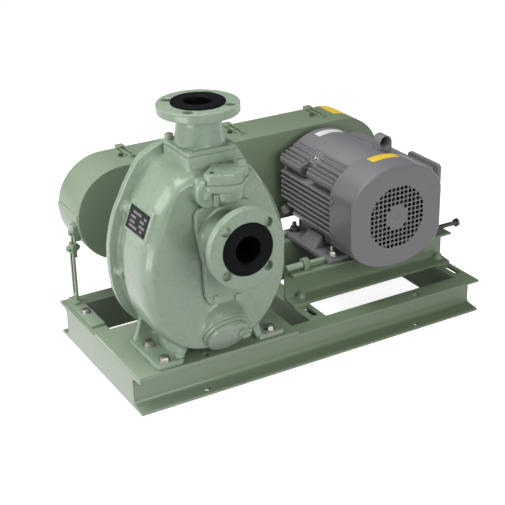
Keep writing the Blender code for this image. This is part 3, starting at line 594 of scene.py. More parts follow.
sole = bev(pull([(0.0, 0.0), (SOLE_X, 0.0), (SOLE_X, SOLE_Y), (0.0, SOLE_Y)], "Z", CH_H + 0.3, SOLE_Z), 0.9, 2)
sole = csg(sole, round_holes([(149, 16)], 7.0, 70, 90))
piece("sole_plate", sole, STEELP, ["pump_sole_plate"])

beads = []
for x0, x1 in ((3, 39), (CROSS_X + 1, CROSS_X + 39), (LENGTH - 39, LENGTH - 1)):
    for y in (CH_B, WIDTH - CH_B):
        if not (x0 < SOLE_X and y < 100):
            beads.append(weld((x0, y, CH_H - 0.2), (x1, y, CH_H - 0.2), 2.0, x0 + y))
for x, y in ((CROSS_X, CH_B), (CROSS_X, WIDTH - CH_B), (LENGTH - CH_B, CH_B), (LENGTH - CH_B, WIDTH - CH_B)):
    s = 1 if y < 200 else -1
    beads.append(weld((x, y + s * 1.0, 10), (x, y + s * 1.0, 66), 2.4, x + y))
# intermittent beads along the edges of the sole plate
for i in range(3):
    beads.append(weld((SOLE_X + 0.6, 46 + i * 60, CH_H + 1.0), (SOLE_X + 0.6, 46 + i * 60 + 1, CH_H + 1.0), 1.2, i))
for x0 in (30, 150, 270):
    beads.append(weld((x0, SOLE_Y + 0.8, CH_H + 1.6), (x0 + 45, SOLE_Y + 0.8, CH_H + 1.6), 2.4, x0) if x0 == 30 else weld((x0, SOLE_Y + 0.8, CH_H + 1.6), (x0 + 1.2, SOLE_Y + 0.8, CH_H + 1.6), 1.0, x0))


# raised frame under the motor, with its lugs for the jack screws
JACK_Z = FR_Z1 + 10.8


def jack_lug(y, x0, x1):
    pts = [(y - 11, FR_Z1 - 1), (y + 11, FR_Z1 - 1)]
    pts += [(y + 11 * cos(a), JACK_Z + 3 + 11 * sin(a)) for a in [pi * i / 16 for i in range(17)]]
    lug = bev(pull(pts, "X", x0, x1), 1.2, 2, 50)
    return csg(lug, lathe([(5.4, x0 - 4), (5.4, x1 + 4)], (0, y, JACK_Z), (1, 0, 0), 24))


for tag, web, s, y in (("front", FRAME_Y0 + CH_B, -1, FRAME_Y0 + 19), ("rear", WIDTH - FRAME_Y0 - CH_B, 1, WIDTH - FRAME_Y0 - 19)):
    body = bev(pull(channel(web, s, FR_Z0), "X", FRAME_X0, LENGTH), 0.5, 1, 60)
    toe = web + s * CH_B
    body = csg(body, round_holes([(517, web + s * 20), (707, web + s * 20)], 6.0, FR_Z1 - 14, FR_Z1 + 6))
    lugs = [jack_lug(y, 438, 452), jack_lug(y, 770, 784)]
    piece("motor_frame_" + tag, join(body, *lugs), STEELP, [f"motor_frame_{tag}_channel"])
    for x in (438.0, 452.0, 770.0, 784.0):
        beads.append(weld((x, y - 10, FR_Z1 + 0.2), (x, y + 10, FR_Z1 + 0.2), 2.0, x))
    for x0, x1 in ((CROSS_X + 1, CROSS_X + 38), (LENGTH - 39, LENGTH - 1)):
        beads.append(weld((x0, web - s * 0.4, FR_Z0 + 0.3), (x1, web - s * 0.4, FR_Z0 + 0.3), 2.4, x0))
        beads.append(weld((x0, toe, FR_Z0 + 0.1), (x1, toe, FR_Z0 + 0.1), 2.2, x1))
piece("frame_welds", join(*beads), STEELP)

# ---------------------------------------------------------------- pump casing
RIM = [
    (275, 172), (299, 171), (339, 164), (381, 150), (399, 140), (416, 132), (430, 124),
    (446, 114), (460, 105), (468, 96), (477, 80), (484, 63), (491, 45),
]
SIDE = [
    (275, 160), (300, 159), (339, 151), (381, 136), (411, 120), (430, 107), (447, 95),
    (457, 85), (463, 74), (467, 60), (470, 46),
]
FACE = [
    (269, 148), (300, 146), (343, 136), (362, 129), (392, 118), (413, 108), (430, 99),
    (443, 89), (450, 80), (455, 68), (458, 52),
]
INNER = [
    (269, 136), (300, 134), (343, 124), (362, 117), (392, 107), (413, 98), (430, 90),
    (440, 81), (447, 68), (450, 50),
]
BELLY = 2.4


def half_width(table, z):
    zs = [p[0] for p in table]
    ws = [p[1] for p in table]
    if z <= zs[0]:
        return ws[0]
    if z >= zs[-1]:
        return ws[-1]
    i = max(k for k in range(len(zs) - 1) if zs[k] <= z)
    slopes = [(ws[k + 1] - ws[k]) / (zs[k + 1] - zs[k]) for k in range(len(zs) - 1)]

    def m(k):
        if k == 0:
            return 0.0
        if k == len(zs) - 1:
            return slopes[-1]
        return 2 * slopes[k - 1] * slopes[k] / (slopes[k - 1] + slopes[k]) if slopes[k - 1] * slopes[k] > 0 else 0.0

    h = zs[i + 1] - zs[i]
    t = (z - zs[i]) / h
    return (
        (2 * t**3 - 3 * t**2 + 1) * ws[i] + (t**3 - 2 * t**2 + t) * h * m(i)
        + (3 * t**2 - 2 * t**3) * ws[i + 1] + (t**3 - t**2) * h * m(i + 1)
    )


def trim(z):
    """How much narrower the casing is on the motor's side than on the other."""
    t = min(1.0, max(0.0, (z - 340.0) / 80.0))
    b = min(1.0, max(0.0, (235.0 - z) / 80.0))
    return 4.4 + 2.8 * t * t * (3 - 2 * t) + 8.0 * b * b * (3 - 2 * b)


def egg(table, top, bottom, grow=0.0, arc=96, rise=42, right=0.0):
    zc, r = table[0][0], table[0][1] + grow
    deep = zc - bottom
    pts = []
    for i in range(arc + 1):
        a = pi * i / arc
        c, q = cos(a), sin(a)
        z = zc - deep * max(q, 0.0) ** (2 / BELLY)
        wide = r - right * trim(z) if c > 0 else r
        pts.append((PUMP_X + wide * math.copysign(abs(c) ** (2 / BELLY), c), z))
    levels = [zc + (top - zc) * sin(pi / 2 * i / rise) for i in range(1, rise + 1)]
    pts += [(PUMP_X - half_width(table, z) - grow, z) for z in levels]
    pts += [(PUMP_X + half_width(table, z) + grow - right * trim(z), z) for z in reversed(levels)]
    return pts


def between(a, b, t):
    return [(u0 + (u1 - u0) * t, v0 + (v1 - v0) * t) for (u0, v0), (u1, v1) in zip(a, b)]


def loft(rings):
    n = len(rings[0])
    v = [p for ring in rings for p in ring]
    f = []
    for k in range(len(rings) - 1):
        for i in range(n):
            j = (i + 1) % n
            f.append([k * n + i, k * n + j, (k + 1) * n + j, (k + 1) * n + i])
    f += [list(range(n)), list(range((len(rings) - 1) * n, len(rings) * n))[::-1]]
    return v, f


def cast(part, voxel=2.2, rounds=20, concave=0.62, convex=0.10, flat=0.4):
    """Casting from overlapping closed parts: one skin, with filleted hollows and eased edges."""
    ob = temp(part)
    m = ob.modifiers.new("skin", "REMESH")
    m.mode = "VOXEL"
    m.voxel_size = voxel
    m.adaptivity = 0.0
    me = evaluated(ob)
    bpy.data.objects.remove(ob, do_unlink=True)
    n = len(me.vertices)
    v = np.empty(n * 3)
    me.vertices.foreach_get("co", v)
    v = v.reshape(-1, 3)
    e = np.empty(len(me.edges) * 2, dtype=np.int64)
    me.edges.foreach_get("vertices", e)
    e = e.reshape(-1, 2)
    deg = np.bincount(e.ravel(), minlength=n).astype(float)[:, None]
    nrm = np.empty(n * 3)
    for k in range(rounds):
        s = np.zeros((n, 3))
        for ax in range(3):
            s[:, ax] = np.bincount(e[:, 0], weights=v[e[:, 1], ax], minlength=n) + np.bincount(
                e[:, 1], weights=v[e[:, 0], ax], minlength=n
            )
        lap = s / deg - v
        if k % 6 == 0:
            me.vertices.foreach_set("co", v.ravel())
            me.update()
            me.vertices.foreach_get("normal", nrm)
            nn = nrm.reshape(-1, 3)
        d = (lap * nn).sum(1)
        size = np.abs(d)
        w = np.where(d > 0, concave, convex)
        w = np.where(size < 0.02, flat, w)
        v += lap * w[:, None]
    me.vertices.foreach_set("co", v.ravel())
    me.update()
    out = [tuple(x) for x in v], [list(p.vertices) for p in me.polygons]
    bpy.data.meshes.remove(me)
    return out


side, face, inner = egg(SIDE, 471, 100, right=1.0), egg(FACE, 459, 104, right=1.0), egg(INNER, 452, 117, right=1.0)
groove = egg(SIDE, 469, 108, -8.5, right=0.6)
rings = [(CASE_Y1 + 6, groove), (116, groove), (104, between(side, groove, 0.45)), (90, side)]
for i in range(46):
    w = sin(radians(2 * i))
    ring = []
    for p, q, r in zip(side, face, inner):
        # the left flank is flatter and turns into the front over a tighter corner
        k = min(1.0, max(0.0, (PUMP_X + 25 - p[0]) / 90))
        power = 2.0 + 1.3 * k * k * (3 - 2 * k)
        t = 1 - (1 - w**power) ** (1 / power)
        a, b, f = (p, q, t / 0.34) if t <= 0.34 else (q, r, (t - 0.34) / 0.66)
        ring.append((a[0] + (b[0] - a[0]) * f, a[1] + (b[1] - a[1]) * f))
    rings.append((46.0 - (46.0 - CASE_Y0) * w, ring))
egg_body = loft([[(u, y, w) for u, w in ring] for y, ring in rings])
rim_body = pull(egg(RIM, 493, 95, -0.7), "Y", CASE_Y1 + 0.7, RIM_Y1 - 0.7)
rim_skin = bev(pull(egg(RIM, 493, 95), "Y", CASE_Y1, RIM_Y1), 1.7, 3, 50)
top_block = pull(corners(PUMP_X - 50.9, PUMP_X + 50.9, DIS_Y - 50.9, DIS_Y + 50.9, 7), "Z", 428, 491.2)
block_skin = bev(pull(corners(PUMP_X - 51.5, PUMP_X + 51.5, DIS_Y - 51.5, DIS_Y + 51.5, 6), "Z", 446, 492.0), 1.0, 2, 50)


skins = [rim_skin, block_skin]


def foot(s):
    xa, xb = sorted((PUMP_X - s * 84, PUMP_X - s * 141))
    z0 = SOLE_Z + 0.3
    pad = pull(corners(xa + 0.5, xb - 0.5, 6, 133.5, 5), "Z", z0 + 0.4, z0 + 10.6)
    web = pull(
        [
            (PUMP_X - s * u, w)
            for u, w in (
                (94, z0 + 0.5), (82, z0 + 0.5), (78, 98), (70, 113), (60, 130), (60, 160),
                (84, 160), (85, 135), (89, 112), (93, 100),
            )
        ],
        "Y", 12, 133.5,
    )
    back = pull(
        [
            (PUMP_X - s * u, w)
            for u, w in (
                (84, z0 + 0.5), (138.5, z0 + 0.5), (137, 92), (131, 101), (126, 113), (122, 128),
                (116, 150), (112, 165), (84, 165),
            )
        ],
        "Y", 122, 134,
    )
    skins.append(bev(pull(corners(xa, xb, 5.5, 134, 5), "Z", z0, z0 + 11), 1.5, 3, 50))
    return join(pad, web, back)


DRAIN_DIR = Vector((0.0, -cos(radians(33)), -sin(radians(33))))
DRAIN_FACE = Vector((PUMP_X, -23.0, 130.0))
PLATE_TILT = math.atan2(16, 41)
PLATE_C = Vector((43.5, 57.0, 378.5))
PLATE_OUT = Vector((-cos(PLATE_TILT), 0.0, sin(PLATE_TILT)))
PLATE_UP = Vector((sin(PLATE_TILT), 0.0, cos(PLATE_TILT)))


def on_plate(part):
    """Part drawn with X outward, Y along the pad and Z up it, put on the face of the nameplate pad."""
    return [tuple(PLATE_C + PLATE_OUT * x + Vector((0, y, 0)) + PLATE_UP * z) for x, y, z in part[0]], part[1]


drain_boss = lathe(soft([(50, -75), (50, -16.3, 0.5), (0, -16.3)]), DRAIN_FACE, DRAIN_DIR, 64)


def lid_ring(grow, n=10):
    """Outline of the priming lid, with its two bolt ears."""
    pts = []
    for cx, cy, r, a0, a1 in ((221, -15, 13, -75, 75), (187, -20, 34, 60, 120), (153, -25, 13, 105, 255), (187, -20, 34, 240, 300)):
        for i in range(n + 1):
            a = radians(a0 + (a1 - a0) * i / n)
            pts.append((cx + (r + grow) * cos(a), cy + (r + grow) * sin(a)))
    return pts


pocket = pull(lid_ring(1.2), "Z", 453.5, 500)
prime_stub = lathe([(23, -30), (23, 17), (29.5, 19.5), (29.5, 29.5), (27.5, 31.5)], (150, 0, 438), (0, -1, 0), 64)
prime_stub = csg(prime_stub, pocket)
egg_body = csg(egg_body, pocket)
prime_body = lathe([(24, 414), (32, 424), (32, 450)], (187, -20, 0), (0, 0, 1), 64)
skins.append(bev(pull(lid_ring(1.9, 16), "Z", 440, 454.3), 1.7, 3, 50))
pad_block = on_plate(block(-30, 0, -45, 47, -31, 30))
# bosses on the rim for the cover screws
rim_bosses = []
RIM_SCREWS = [(23.5, 252), (47.5, 378.5)]
RIM_SCREWS += [(2 * PUMP_X - x, z) for x, z in RIM_SCREWS]
for x, z in RIM_SCREWS:
    rim_bosses.append(lathe([(9.5, 4), (9.5, -15), (8.2, -17)], (x + (4 if x < PUMP_X else -4), CASE_Y1 + 0, z), (0, 1, 0), 24))
casing = cast(
    join(egg_body, rim_body, top_block, foot(1), foot(-1), drain_boss, prime_stub, prime_body, pad_block, *rim_bosses),
    2.4,
    rounds=18,
)
piece("casing", casing, CAST, ["pump_casing"], angle=75)
piece("casing_edges", join(*skins), CAST)

# nameplate: black plate with blank fields and four rivets
NP = (2.0, -2.4)


def on_name(part):
    return on_plate(([(x, y + NP[0], z + NP[1]) for x, y, z in part[0]], part[1]))


plate = bev(block(0.3, 1.3, -38.2, 38.2, -22.2, 22.2), 0.35, 1)
piece("nameplate_black", on_name(plate), PLATEB, ["nameplate"])
fields = []
for y0, y1, z in (
    (-23, 10, 12.4), (-28, -7.6, 3.1), (-28, -7.6, -6.2), (-27.5, 4.6, -14.6),
    (22, 32, 11.0), (9, 26, 2.8), (10.7, 32, -6.2), (17.6, 26, -14.2),
):
    fields.append(block(1.25, 1.36, -y1, -y0, z - 2.4, z + 2.4))
piece("nameplate_fields", on_name(join(*fields)), FIELD)
rivets = []
for y in (-35, 35):
    for z in (-19.2, 19.2):
        rivets.append(place(lathe([(1.9, 0), (1.8, 0.5), (1.2, 1.0), (0, 1.2)], (0, 0, 0), (0, 0, 1), 16), PLATE_C + PLATE_OUT * 1.2 + Vector((0, y + NP[0], 0)) + PLATE_UP * (z + NP[1]), PLATE_OUT))
piece("nameplate_rivets", join(*rivets), PLATEB)

# rear cover and bearing housing
cover = bev(pull(egg(RIM, 484, 104, -9), "Y", RIM_Y1 + 0.3, COVER_Y1), 2.2, 3, 50)
bulge = lathe(
    soft([(140, COVER_Y1 - 5), (140, COVER_Y1 + 2, 6), (137, COVER_Y1 + 8, 10), (112, COVER_Y1 + 18, 14), (86, COVER_Y1 + 23, 8), (82, COVER_Y1 + 24, 2), (0, COVER_Y1 + 24)], False, 6),
    (PUMP_X, 0, SHAFT_Z), (0, 1, 0), 96,
)
ribs = []
for k in range(6):
    a = radians(30 + 60 * k)
    rib = bev(pull([(80, 0), (134, 0), (134, 8), (104, 22), (80, 24)], "Y", -5, 5), 2.0, 2)
    rib = [(PUMP_X + x * cos(a) - y * sin(a), COVER_Y1 - 2 + z, SHAFT_Z + x * sin(a) + y * cos(a)) for x, y, z in rib[0]], rib[1]
    ribs.append(rib)
piece("rear_cover", join(cover, bulge, *ribs), CAST, ["pump_rear_cover"])
cover_bolts = []
for k in range(16):
    a = 2 * pi * (k + 0.5) / 16
    best = min(egg(RIM, 484, 104, -26), key=lambda p: abs(math.atan2(p[1] - 285, p[0] - PUMP_X) - (a if a <= pi else a - 2 * pi)))
    if best[1] < 440:
        cover_bolts.append(bolt((best[0], COVER_Y1, best[1]), (0, 1, 0), 15, 6.5, True, 2, spin=0.4 * k))
BH = COVER_Y1 + 24.3
bearing = lathe(
    soft([
        (78, BH), (78, BH + 12, 2), (58, BH + 12.5, 4), (52, BH + 26, 10), (50, 226, 4), (50, 262), (53, 264, 1), (53, 274, 1),
        (50, 276), (50, 298, 4), (60, 304, 2), (60, 322, 2.5), (52, 325, 1), (34, 325),
    ], False, 4),
    (PUMP_X, 0, SHAFT_Z), (0, 1, 0), 80,
)
stiff = []
for k in range(4):
    a = radians(45 + 90 * k)
    web = bev(pull([(46, 0), (74, 0), (74, 2), (53, 90), (46, 90)], "Y", -4, 4), 1.5, 2)
    stiff.append(([(PUMP_X + x * cos(a) - y * sin(a), BH + 11 + z, SHAFT_Z + x * sin(a) + y * cos(a)) for x, y, z in web[0]], web[1]))
piece("bearing_housing", join(bearing, *stiff), CAST, ["pump_bearing_housing"])
for k in range(8):
    a = radians(22.5 + 45 * k)
    cover_bolts.append(bolt((PUMP_X + 69 * cos(a), BH + 12, SHAFT_Z + 69 * sin(a)), (0, 1, 0), 13, 5.5, True, 3, spin=0.5 * k))
for k in range(6):
    a = radians(60 * k)
    cover_bolts.append(bolt((PUMP_X + 47 * cos(a), 325, SHAFT_Z + 47 * sin(a)), (0, 1, 0), 10, 4.5, False, 0, spin=0.2 * k))
piece("cover_bolts", join(*cover_bolts), BOLTP)
nipple = lathe([(4, -3), (4, 2), (2.4, 3), (2.4, 6), (3.2, 7.5), (3.2, 9), (2, 11)], (PUMP_X, 268, SHAFT_Z + 53), (0, 0, 1), 20)
piece("grease_nipple", nipple, BRIGHT)

# ---------------------------------------------------------------- discharge
plate2 = bev(pull(corners(PUMP_X - 51.5, PUMP_X + 51.5, DIS_Y - 51.5, DIS_Y + 51.5, 7), "Z", 492, 502), 1.6, 3, 50)
neck = lathe(
    soft([
        (30.1, 493), (50.3, 493), (50.3, 502.2), (47.2, 504.5, 3), (45.6, 515, 30), (42.6, 540, 30), (42.0, 556, 5), (44.0, 560, 3), (FL_R, DIS_Z - FL_T, 2.0),
        (FL_R, DIS_Z, 2.0), (30.1, DIS_Z),
    ], True, 6),
    (PUMP_X, DIS_Y, 0), (0, 0, 1), 112, True,
)


def flange_holes(centre, d, at, thick):
    ex, ey, ez = axes_of(d)
    cuts = []
    for k in range(4):
        a = radians(45 + 90 * k)
        c = Vector(centre) + (ex * cos(a) + ey * sin(a)) * PCD_R
        cuts.append(lathe([(HOLE_R + 3, at - 3.0), (HOLE_R + 1.0, at - 0.01), (HOLE_R, at + 1.0), (HOLE_R, at + thick + 4)], c, d, 40))
    return join(*cuts)


neck = csg(neck, flange_holes((PUMP_X, DIS_Y, DIS_Z), (0, 0, -1), 0.0, FL_T))
piece("discharge_pipe", join(plate2, neck), CAST, ["discharge_branch"])
liner = lathe(
    soft([
        (25, 500), (29.7, 500), (29.7, DIS_Z + 0.3), (51.5, DIS_Z + 0.3), (51.5, DIS_Z + 3.4, 1.6), (46, DIS_Z + 4.0, 1), (44.6, DIS_Z + 3.2, 0.6),
        (43, DIS_Z + 4.0, 0.6), (29, DIS_Z + 4.0, 2.4), (25, DIS_Z + 1.0, 3),
    ], True, 4),
    (PUMP_X, DIS_Y, 0), (0, 0, 1), 96, True,
)
piece("discharge_rubber", liner, RUBBER, ["discharge_liner"])
bore_back = lathe([(24.9, 503), (24.9, 505)], (PUMP_X, DIS_Y, 0), (0, 0, 1), 48)
piece("discharge_bore_end", bore_back, RUBBER)

# ---------------------------------------------------------------- suction
PLATE_Y1 = CASE_Y0 - 0.3
PLATE_Y0 = PLATE_Y1 - 13
shield = [
    (-44, 226, 9), (-38, 212, 9), (-28, 204, 9), (28, 204, 9), (38, 212, 9), (44, 226, 9),
    (45, 290, 40), (56, 348, 30), (59, 366, 10), (59, 394, 8), (53, 404, 8), (42, 408, 8),
    (-42, 408, 8), (-53, 404, 8), (-59, 394, 8), (-59, 366, 10), (-56, 348, 30), (-45, 290, 40),
]
shield = soft([(PUMP_X + u, w, r) for u, w, r in shield], True, 5)
plate3 = bev(pull(shield, "Y", PLATE_Y0, PLATE_Y1 - 3.0), 2.6, 4, 50, only=lambda p, q: p.y < PLATE_Y0 + 1 and q.y < PLATE_Y0 + 1)
plate3 = csg(plate3, pull([(PUMP_X + (u - PUMP_X) * 0.92, 306 + (w - 306) * 0.965) for u, w in shield], "Y", PLATE_Y1 - 6, PLATE_Y1), "UNION")
plate3 = csg(plate3, lathe([(30.1, PLATE_Y0 - 5), (30.1, PLATE_Y1 + 5)], (PUMP_X, 0, SUC_Z), (0, 1, 0), 64))
piece("suction_plate", plate3, CAST, ["suction_cover"])
SB = PLATE_Y0 - 0.3
branch = lathe(
    soft([
        (30.1, SUC_Y), (FL_R, SUC_Y, 2.0), (FL_R, SUC_Y + FL_T, 2.2), (46, SUC_Y + FL_T + 1, 6), (43, -66, 14), (44, -40, 20), (49, SB - 3, 8), (55, SB), (30.1, SB),
    ], True, 6),
    (PUMP_X, 0, SUC_Z), (0, 1, 0), 112, True,
)
branch = csg(branch, flange_holes((PUMP_X, SUC_Y, SUC_Z), (0, 1, 0), 0.0, FL_T))
piece("suction_pipe", branch, CAST, ["suction_branch"])
liner2 = lathe(
    soft([
        (25, SUC_Y - 1.0, 3), (29, SUC_Y - 4.0, 2.4), (43, SUC_Y - 4.0, 0.6), (44.6, SUC_Y - 3.2, 0.6), (46, SUC_Y - 4.0, 1), (51.5, SUC_Y - 3.4, 1.6),
        (51.5, SUC_Y - 0.3), (29.7, SUC_Y - 0.3), (29.7, PLATE_Y1 - 1), (25, PLATE_Y1 - 1),
    ], True, 4),
    (PUMP_X, 0, SUC_Z), (0, 1, 0), 96, True,
)
piece("suction_rubber", liner2, RUBBER, ["suction_liner"])
piece("suction_bore_end", lathe([(24.9, -10), (24.9, -8)], (PUMP_X, 0, SUC_Z), (0, 1, 0), 48), RUBBER)

# ---------------------------------------------------------------- priming port
lid = bev(pull(lid_ring(0.0, 16), "Z", 454.3, 474.8), 2.2, 3, 50)
crown = lathe(soft([(28, 472), (27, 475.0, 2), (0, 475.6)], False, 4), (187, -20, 0), (0, 0, 1), 48)
piece("priming_cover", join(lid, crown), CAST, ["priming_lid"])
clamp = [
    lathe(soft([(9.5, -3), (9.5, 1.5, 1), (8.2, 4.0, 3), (5.0, 6.4, 4), (0, 7.0)], False, 4), (141, -31, 435), (0, -1, 0), 40),
    bev(pull(soft([(151, 414, 3), (160, 414, 3), (160, 436, 4), (151, 440, 4)], True, 4), "Y", -41, -28), 1.6, 3, 50),
]
piece("priming_clamp", join(*clamp), CAST)

# ---------------------------------------------------------------- drain
collar = lathe(soft([(30, -16), (48.6, -16, 0.6), (49.4, -15), (49.4, -9.6, 1.4), (30, -9.2)], True, 4), DRAIN_FACE, DRAIN_DIR, 80, True)
piece("drain_ring", collar, CAST, ["drain_collar"])
cap = lathe(soft([(20, -9), (44, -9), (44, -0.6, 2.4), (36, 0.2, 3), (0, 0.4)], False, 5), DRAIN_FACE, DRAIN_DIR, 80)
ex, ey, ez = axes_of(DRAIN_DIR)
plug_at = DRAIN_FACE + Vector((33.5, 0, 0)) + ex * 4 + DRAIN_DIR * -1.0
plug = join(lathe(soft([(14.5, 0), (14.5, 4.6, 2), (10.5, 5.4)]), plug_at, DRAIN_DIR, 48), bolt(plug_at + DRAIN_DIR * 4.6, DRAIN_DIR, 17, 6.5, False, spin=0.2))
piece("drain_cover", join(cap, plug), CAST, ["drain_cap"])

# ---------------------------------------------------------------- pump fasteners
zincs, painted = [], []
for x in (64, 298):
    for y, sp in ((20, 0.2), (90, 0.55)):
        zincs.append(bolt((x, y, SOLE_Z + 11.3), (0, 0, 1), 17, 7.5, True, 0, spin=sp))
piece("pump_foot_bolts", join(*zincs), ZINC)
for x, z in ((159, 219), (205, 211.5)):
    painted.append(bolt((x, PLATE_Y0, z), (0, -1, 0), 13, 6, False, 0, spin=x * 0.1))
for x, z in RIM_SCREWS:
    painted.append(bolt((x + (4 if x < PUMP_X else -4), CASE_Y1 - 17, z), (0, -1, 0), 14, 6.5, False, 0, spin=z))
painted.append(bolt((PUMP_X - 42, DIS_Y + 42, 502), (0, 0, 1), 15, 10, False, 2, spin=0.3))
for x, y in ((-42, -42), (42, 42), (42, -42)):
    painted.append(socket_screw((PUMP_X + x, DIS_Y + y, 500.5), (0, 0, 1), 5.5, 3.0))
painted.append(bolt((221, -15, 474.6), (0, 0, 1), 19, 7, True, 0, spin=0.2))
piece("pump_cover_bolts", join(*painted), BOLTP)
piece("priming_lid_screw", socket_screw((155, -25, 473.6), (0, 0, 1), 4.6, 2.4), DARKST)

# ---------------------------------------------------------------- belt guard


def arch(r, up, arc=48, split=0.0):
    s = 1 if up else -1
    z0 = SHAFT_Z + s * split
    a0 = math.asin(split / r)
    pts = []
    for i in range(arc + 1):
        a = a0 + (pi / 2 - a0) * i / arc
        pts.append((GU_XR + r * cos(a), SHAFT_Z + s * r * sin(a)))
    for i in range(arc + 1):
        a = pi / 2 - (pi / 2 - a0) * i / arc
        pts.append((GU_XL - r * cos(a), SHAFT_Z + s * r * sin(a)))
    return pts, z0


def shell(up):
    s = 1 if up else -1
    pts, z0 = arch(GU_R, up, split=0.1)
    outer = pull(pts, "Y", GU_Y0, GU_Y1)
    outer = bev(
        outer, 3.2, 4, 50,
        only=lambda p, q: abs(p.y - q.y) < 0.1 and (abs(p.z - z0) > 0.4 or abs(q.z - z0) > 0.4),
    )
    ins, zi = arch(GU_R - 2.0, up, split=0.1)
    ins = [(ins[0][0], z0 - s * 6)] + ins + [(ins[-1][0], z0 - s * 6)]
    hollow = bev(
        pull(ins, "Y", GU_Y0 + 2, GU_Y1 - 2), 1.6, 2, 50,
        only=lambda p, q: abs(p.y - q.y) < 0.1 and (abs(p.z - z0) > 1 or abs(q.z - z0) > 1) and abs(p.z - z0 + s * 6) > 0.5,
    )
    out = csg(outer, hollow)
    out = csg(out, join(*[lathe([(42, GU_Y0 - 4), (42, GU_Y0 + 7)], (x, 0, z), (0, 1, 0), 64) for x, z in ((PUMP_X, SHAFT_Z), (MOT_X, MOT_Z))]))
    return out


lower = shell(False)
upper = shell(True)


def band(z0, z1, grow, y0, y1):
    """Strip that follows the outside of the guard between two heights, as a closed ring round both ends."""
    out = []
    for cx, s in ((GU_XL, -1), (GU_XR, 1)):
        ring = []
        for k in range(9):
            z = z0 + (z1 - z0) * k / 8
            ring.append((cx + s * (sqrt((GU_R + grow) ** 2 - (z - SHAFT_Z) ** 2)), z))
        back = [(cx + s * (sqrt((GU_R - 1.0) ** 2 - (z - SHAFT_Z) ** 2)), z) for _, z in reversed(ring)]
        out.append(bev(pull(ring + back, "Y", y0, y1), 0.5, 1, 50))
    return join(*out)


strap = band(SHAFT_Z + 0.6, SHAFT_Z + 15, 1.6, GU_Y0 + 3.5, GU_Y1 - 3.5)
piece("guard_upper", join(upper, strap), SHEETP, ["belt_guard_upper"])
lug = bev(block(33.4, 44, 358, 380, 222, 258), 1.0, 2)
piece("guard_lower", join(lower, lug), SHEETP, ["belt_guard_lower"])

latches, latch_bolts = [], []
for x in (184.0, 447.0, 661.0):
    latches.append(block(x - 9, x + 9, 440, 456.6, 369.5, 378.5, 1.8, 3))
    latches.append(tube([(x - 6, 442, 375.5), (x - 6, 390, 374.2), (x - 4.5, 385.5, 373.8), (x, 384, 373.8), (x + 4.5, 385.5, 373.8), (x + 6, 390, 374.2), (x + 6, 442, 375.5)], 1.7, 10))
    latches.append(block(x - 9, x + 9, 376, 392, 370.4, 372.6, 0.8, 2))
    latches.append(block(x - 5, x + 5, 378, 381.5, 371, 378, 1.0, 2))
    latches.append(block(x - 27, x - 12, 394, 409, 370.4, 372.4, 0.7, 2))
    latch_bolts.append(bolt((x - 19.5, 401.5, 372.2), (0, 0, 1), 9, 4, True, 0, spin=x))
piece("guard_latches", join(*latches), SHEETP)
piece("guard_latch_screws", join(*latch_bolts), DARKST)


def arc_patch(cx, cz, r, a0, a1, y0, y1, t, n=24):
    """Thin label on a cylinder along Y; angles from the top, towards +X."""
    pts = [(cx + (r + t) * sin(a0 + (a1 - a0) * i / n), cz + (r + t) * cos(a0 + (a1 - a0) * i / n)) for i in range(n + 1)]
    pts += [(cx + (r - 0.4) * sin(a1 - (a1 - a0) * i / n), cz + (r - 0.4) * cos(a1 - (a1 - a0) * i / n)) for i in range(n + 1)]
    return pull(pts, "Y", y0, y1)


piece("guard_label", arc_patch(GU_XR, SHAFT_Z, GU_R, radians(3.5), radians(29), 388, 450, 0.25), YELLOW)

# stays at the left end
bracket = bev(block(8, 38, 246, 388, 75.3, 81.3), 0.9, 2)
piece("stay_bracket", bracket, STEELP, ["guard_stay_bracket"])
low = bev(block(23.4, 28.4, 358, 380, 81.6, 216), 0.7, 2)
low = csg(low, pull(soft([(365, 100, 3.9), (373, 100, 3.9), (373, 208, 3.9), (365, 208, 3.9)], True, 6), "X", 20, 32))
low_foot = bev(block(14, 28.4, 350, 384, 81.6, 86.6), 0.9, 2)
piece("stay_lower", join(low, low_foot), STEELP, ["guard_stay_lower"])
up = bev(block(28.7, 33.3, 358, 380, 186, 256), 0.7, 2)
up = csg(up, pull(soft([(365, 194, 3.9), (373, 194, 3.9), (373, 248, 3.9), (365, 248, 3.9)], True, 6), "X", 26, 36))
piece("stay_upper", up, STEELP, ["guard_stay_upper"])
stay_bolts = [
    bolt((23.4, 369, 205), (-1, 0, 0), 14, 6, True, 3),
    bolt((33.3, 369, 205), (1, 0, 0), 14, 6, True, 3),
    bolt((28.7, 369, 240), (-1, 0, 0), 13, 5, True, 2),
]
piece("stay_bolts", join(*stay_bolts), BOLTP)
piece("stay_bracket_bolt", join(bolt((23, 309, 81.3), (0, 0, 1), 15, 6, True, 0, spin=0.5)), ZINC)
sup = join(
    bev(block(600, 650, 364, 392, 75.3, 81.3), 1.0, 2),
    bev(block(600, 650, 386, 392, 80, 160.4), 1.0, 2),
    bev(block(600, 650, 366, 392, 154, 160.6), 1.0, 2),
    bev(pull([(387, 81), (366, 81), (387, 102)], "X", 622, 628), 0.8, 1),
    bev(pull([(387, 154.5), (368, 154.5), (387, 136)], "X", 622, 628), 0.8, 1),
)
piece("rear_support", sup, STEELP, ["guard_rear_support"])
piece("rear_support_bolts", join(bolt((612, 372, 81.3), (0, 0, 1), 13, 5.5, True, 4), bolt((638, 372, 81.3), (0, 0, 1), 13, 5.5, True, 4, spin=0.1)), ZINC)

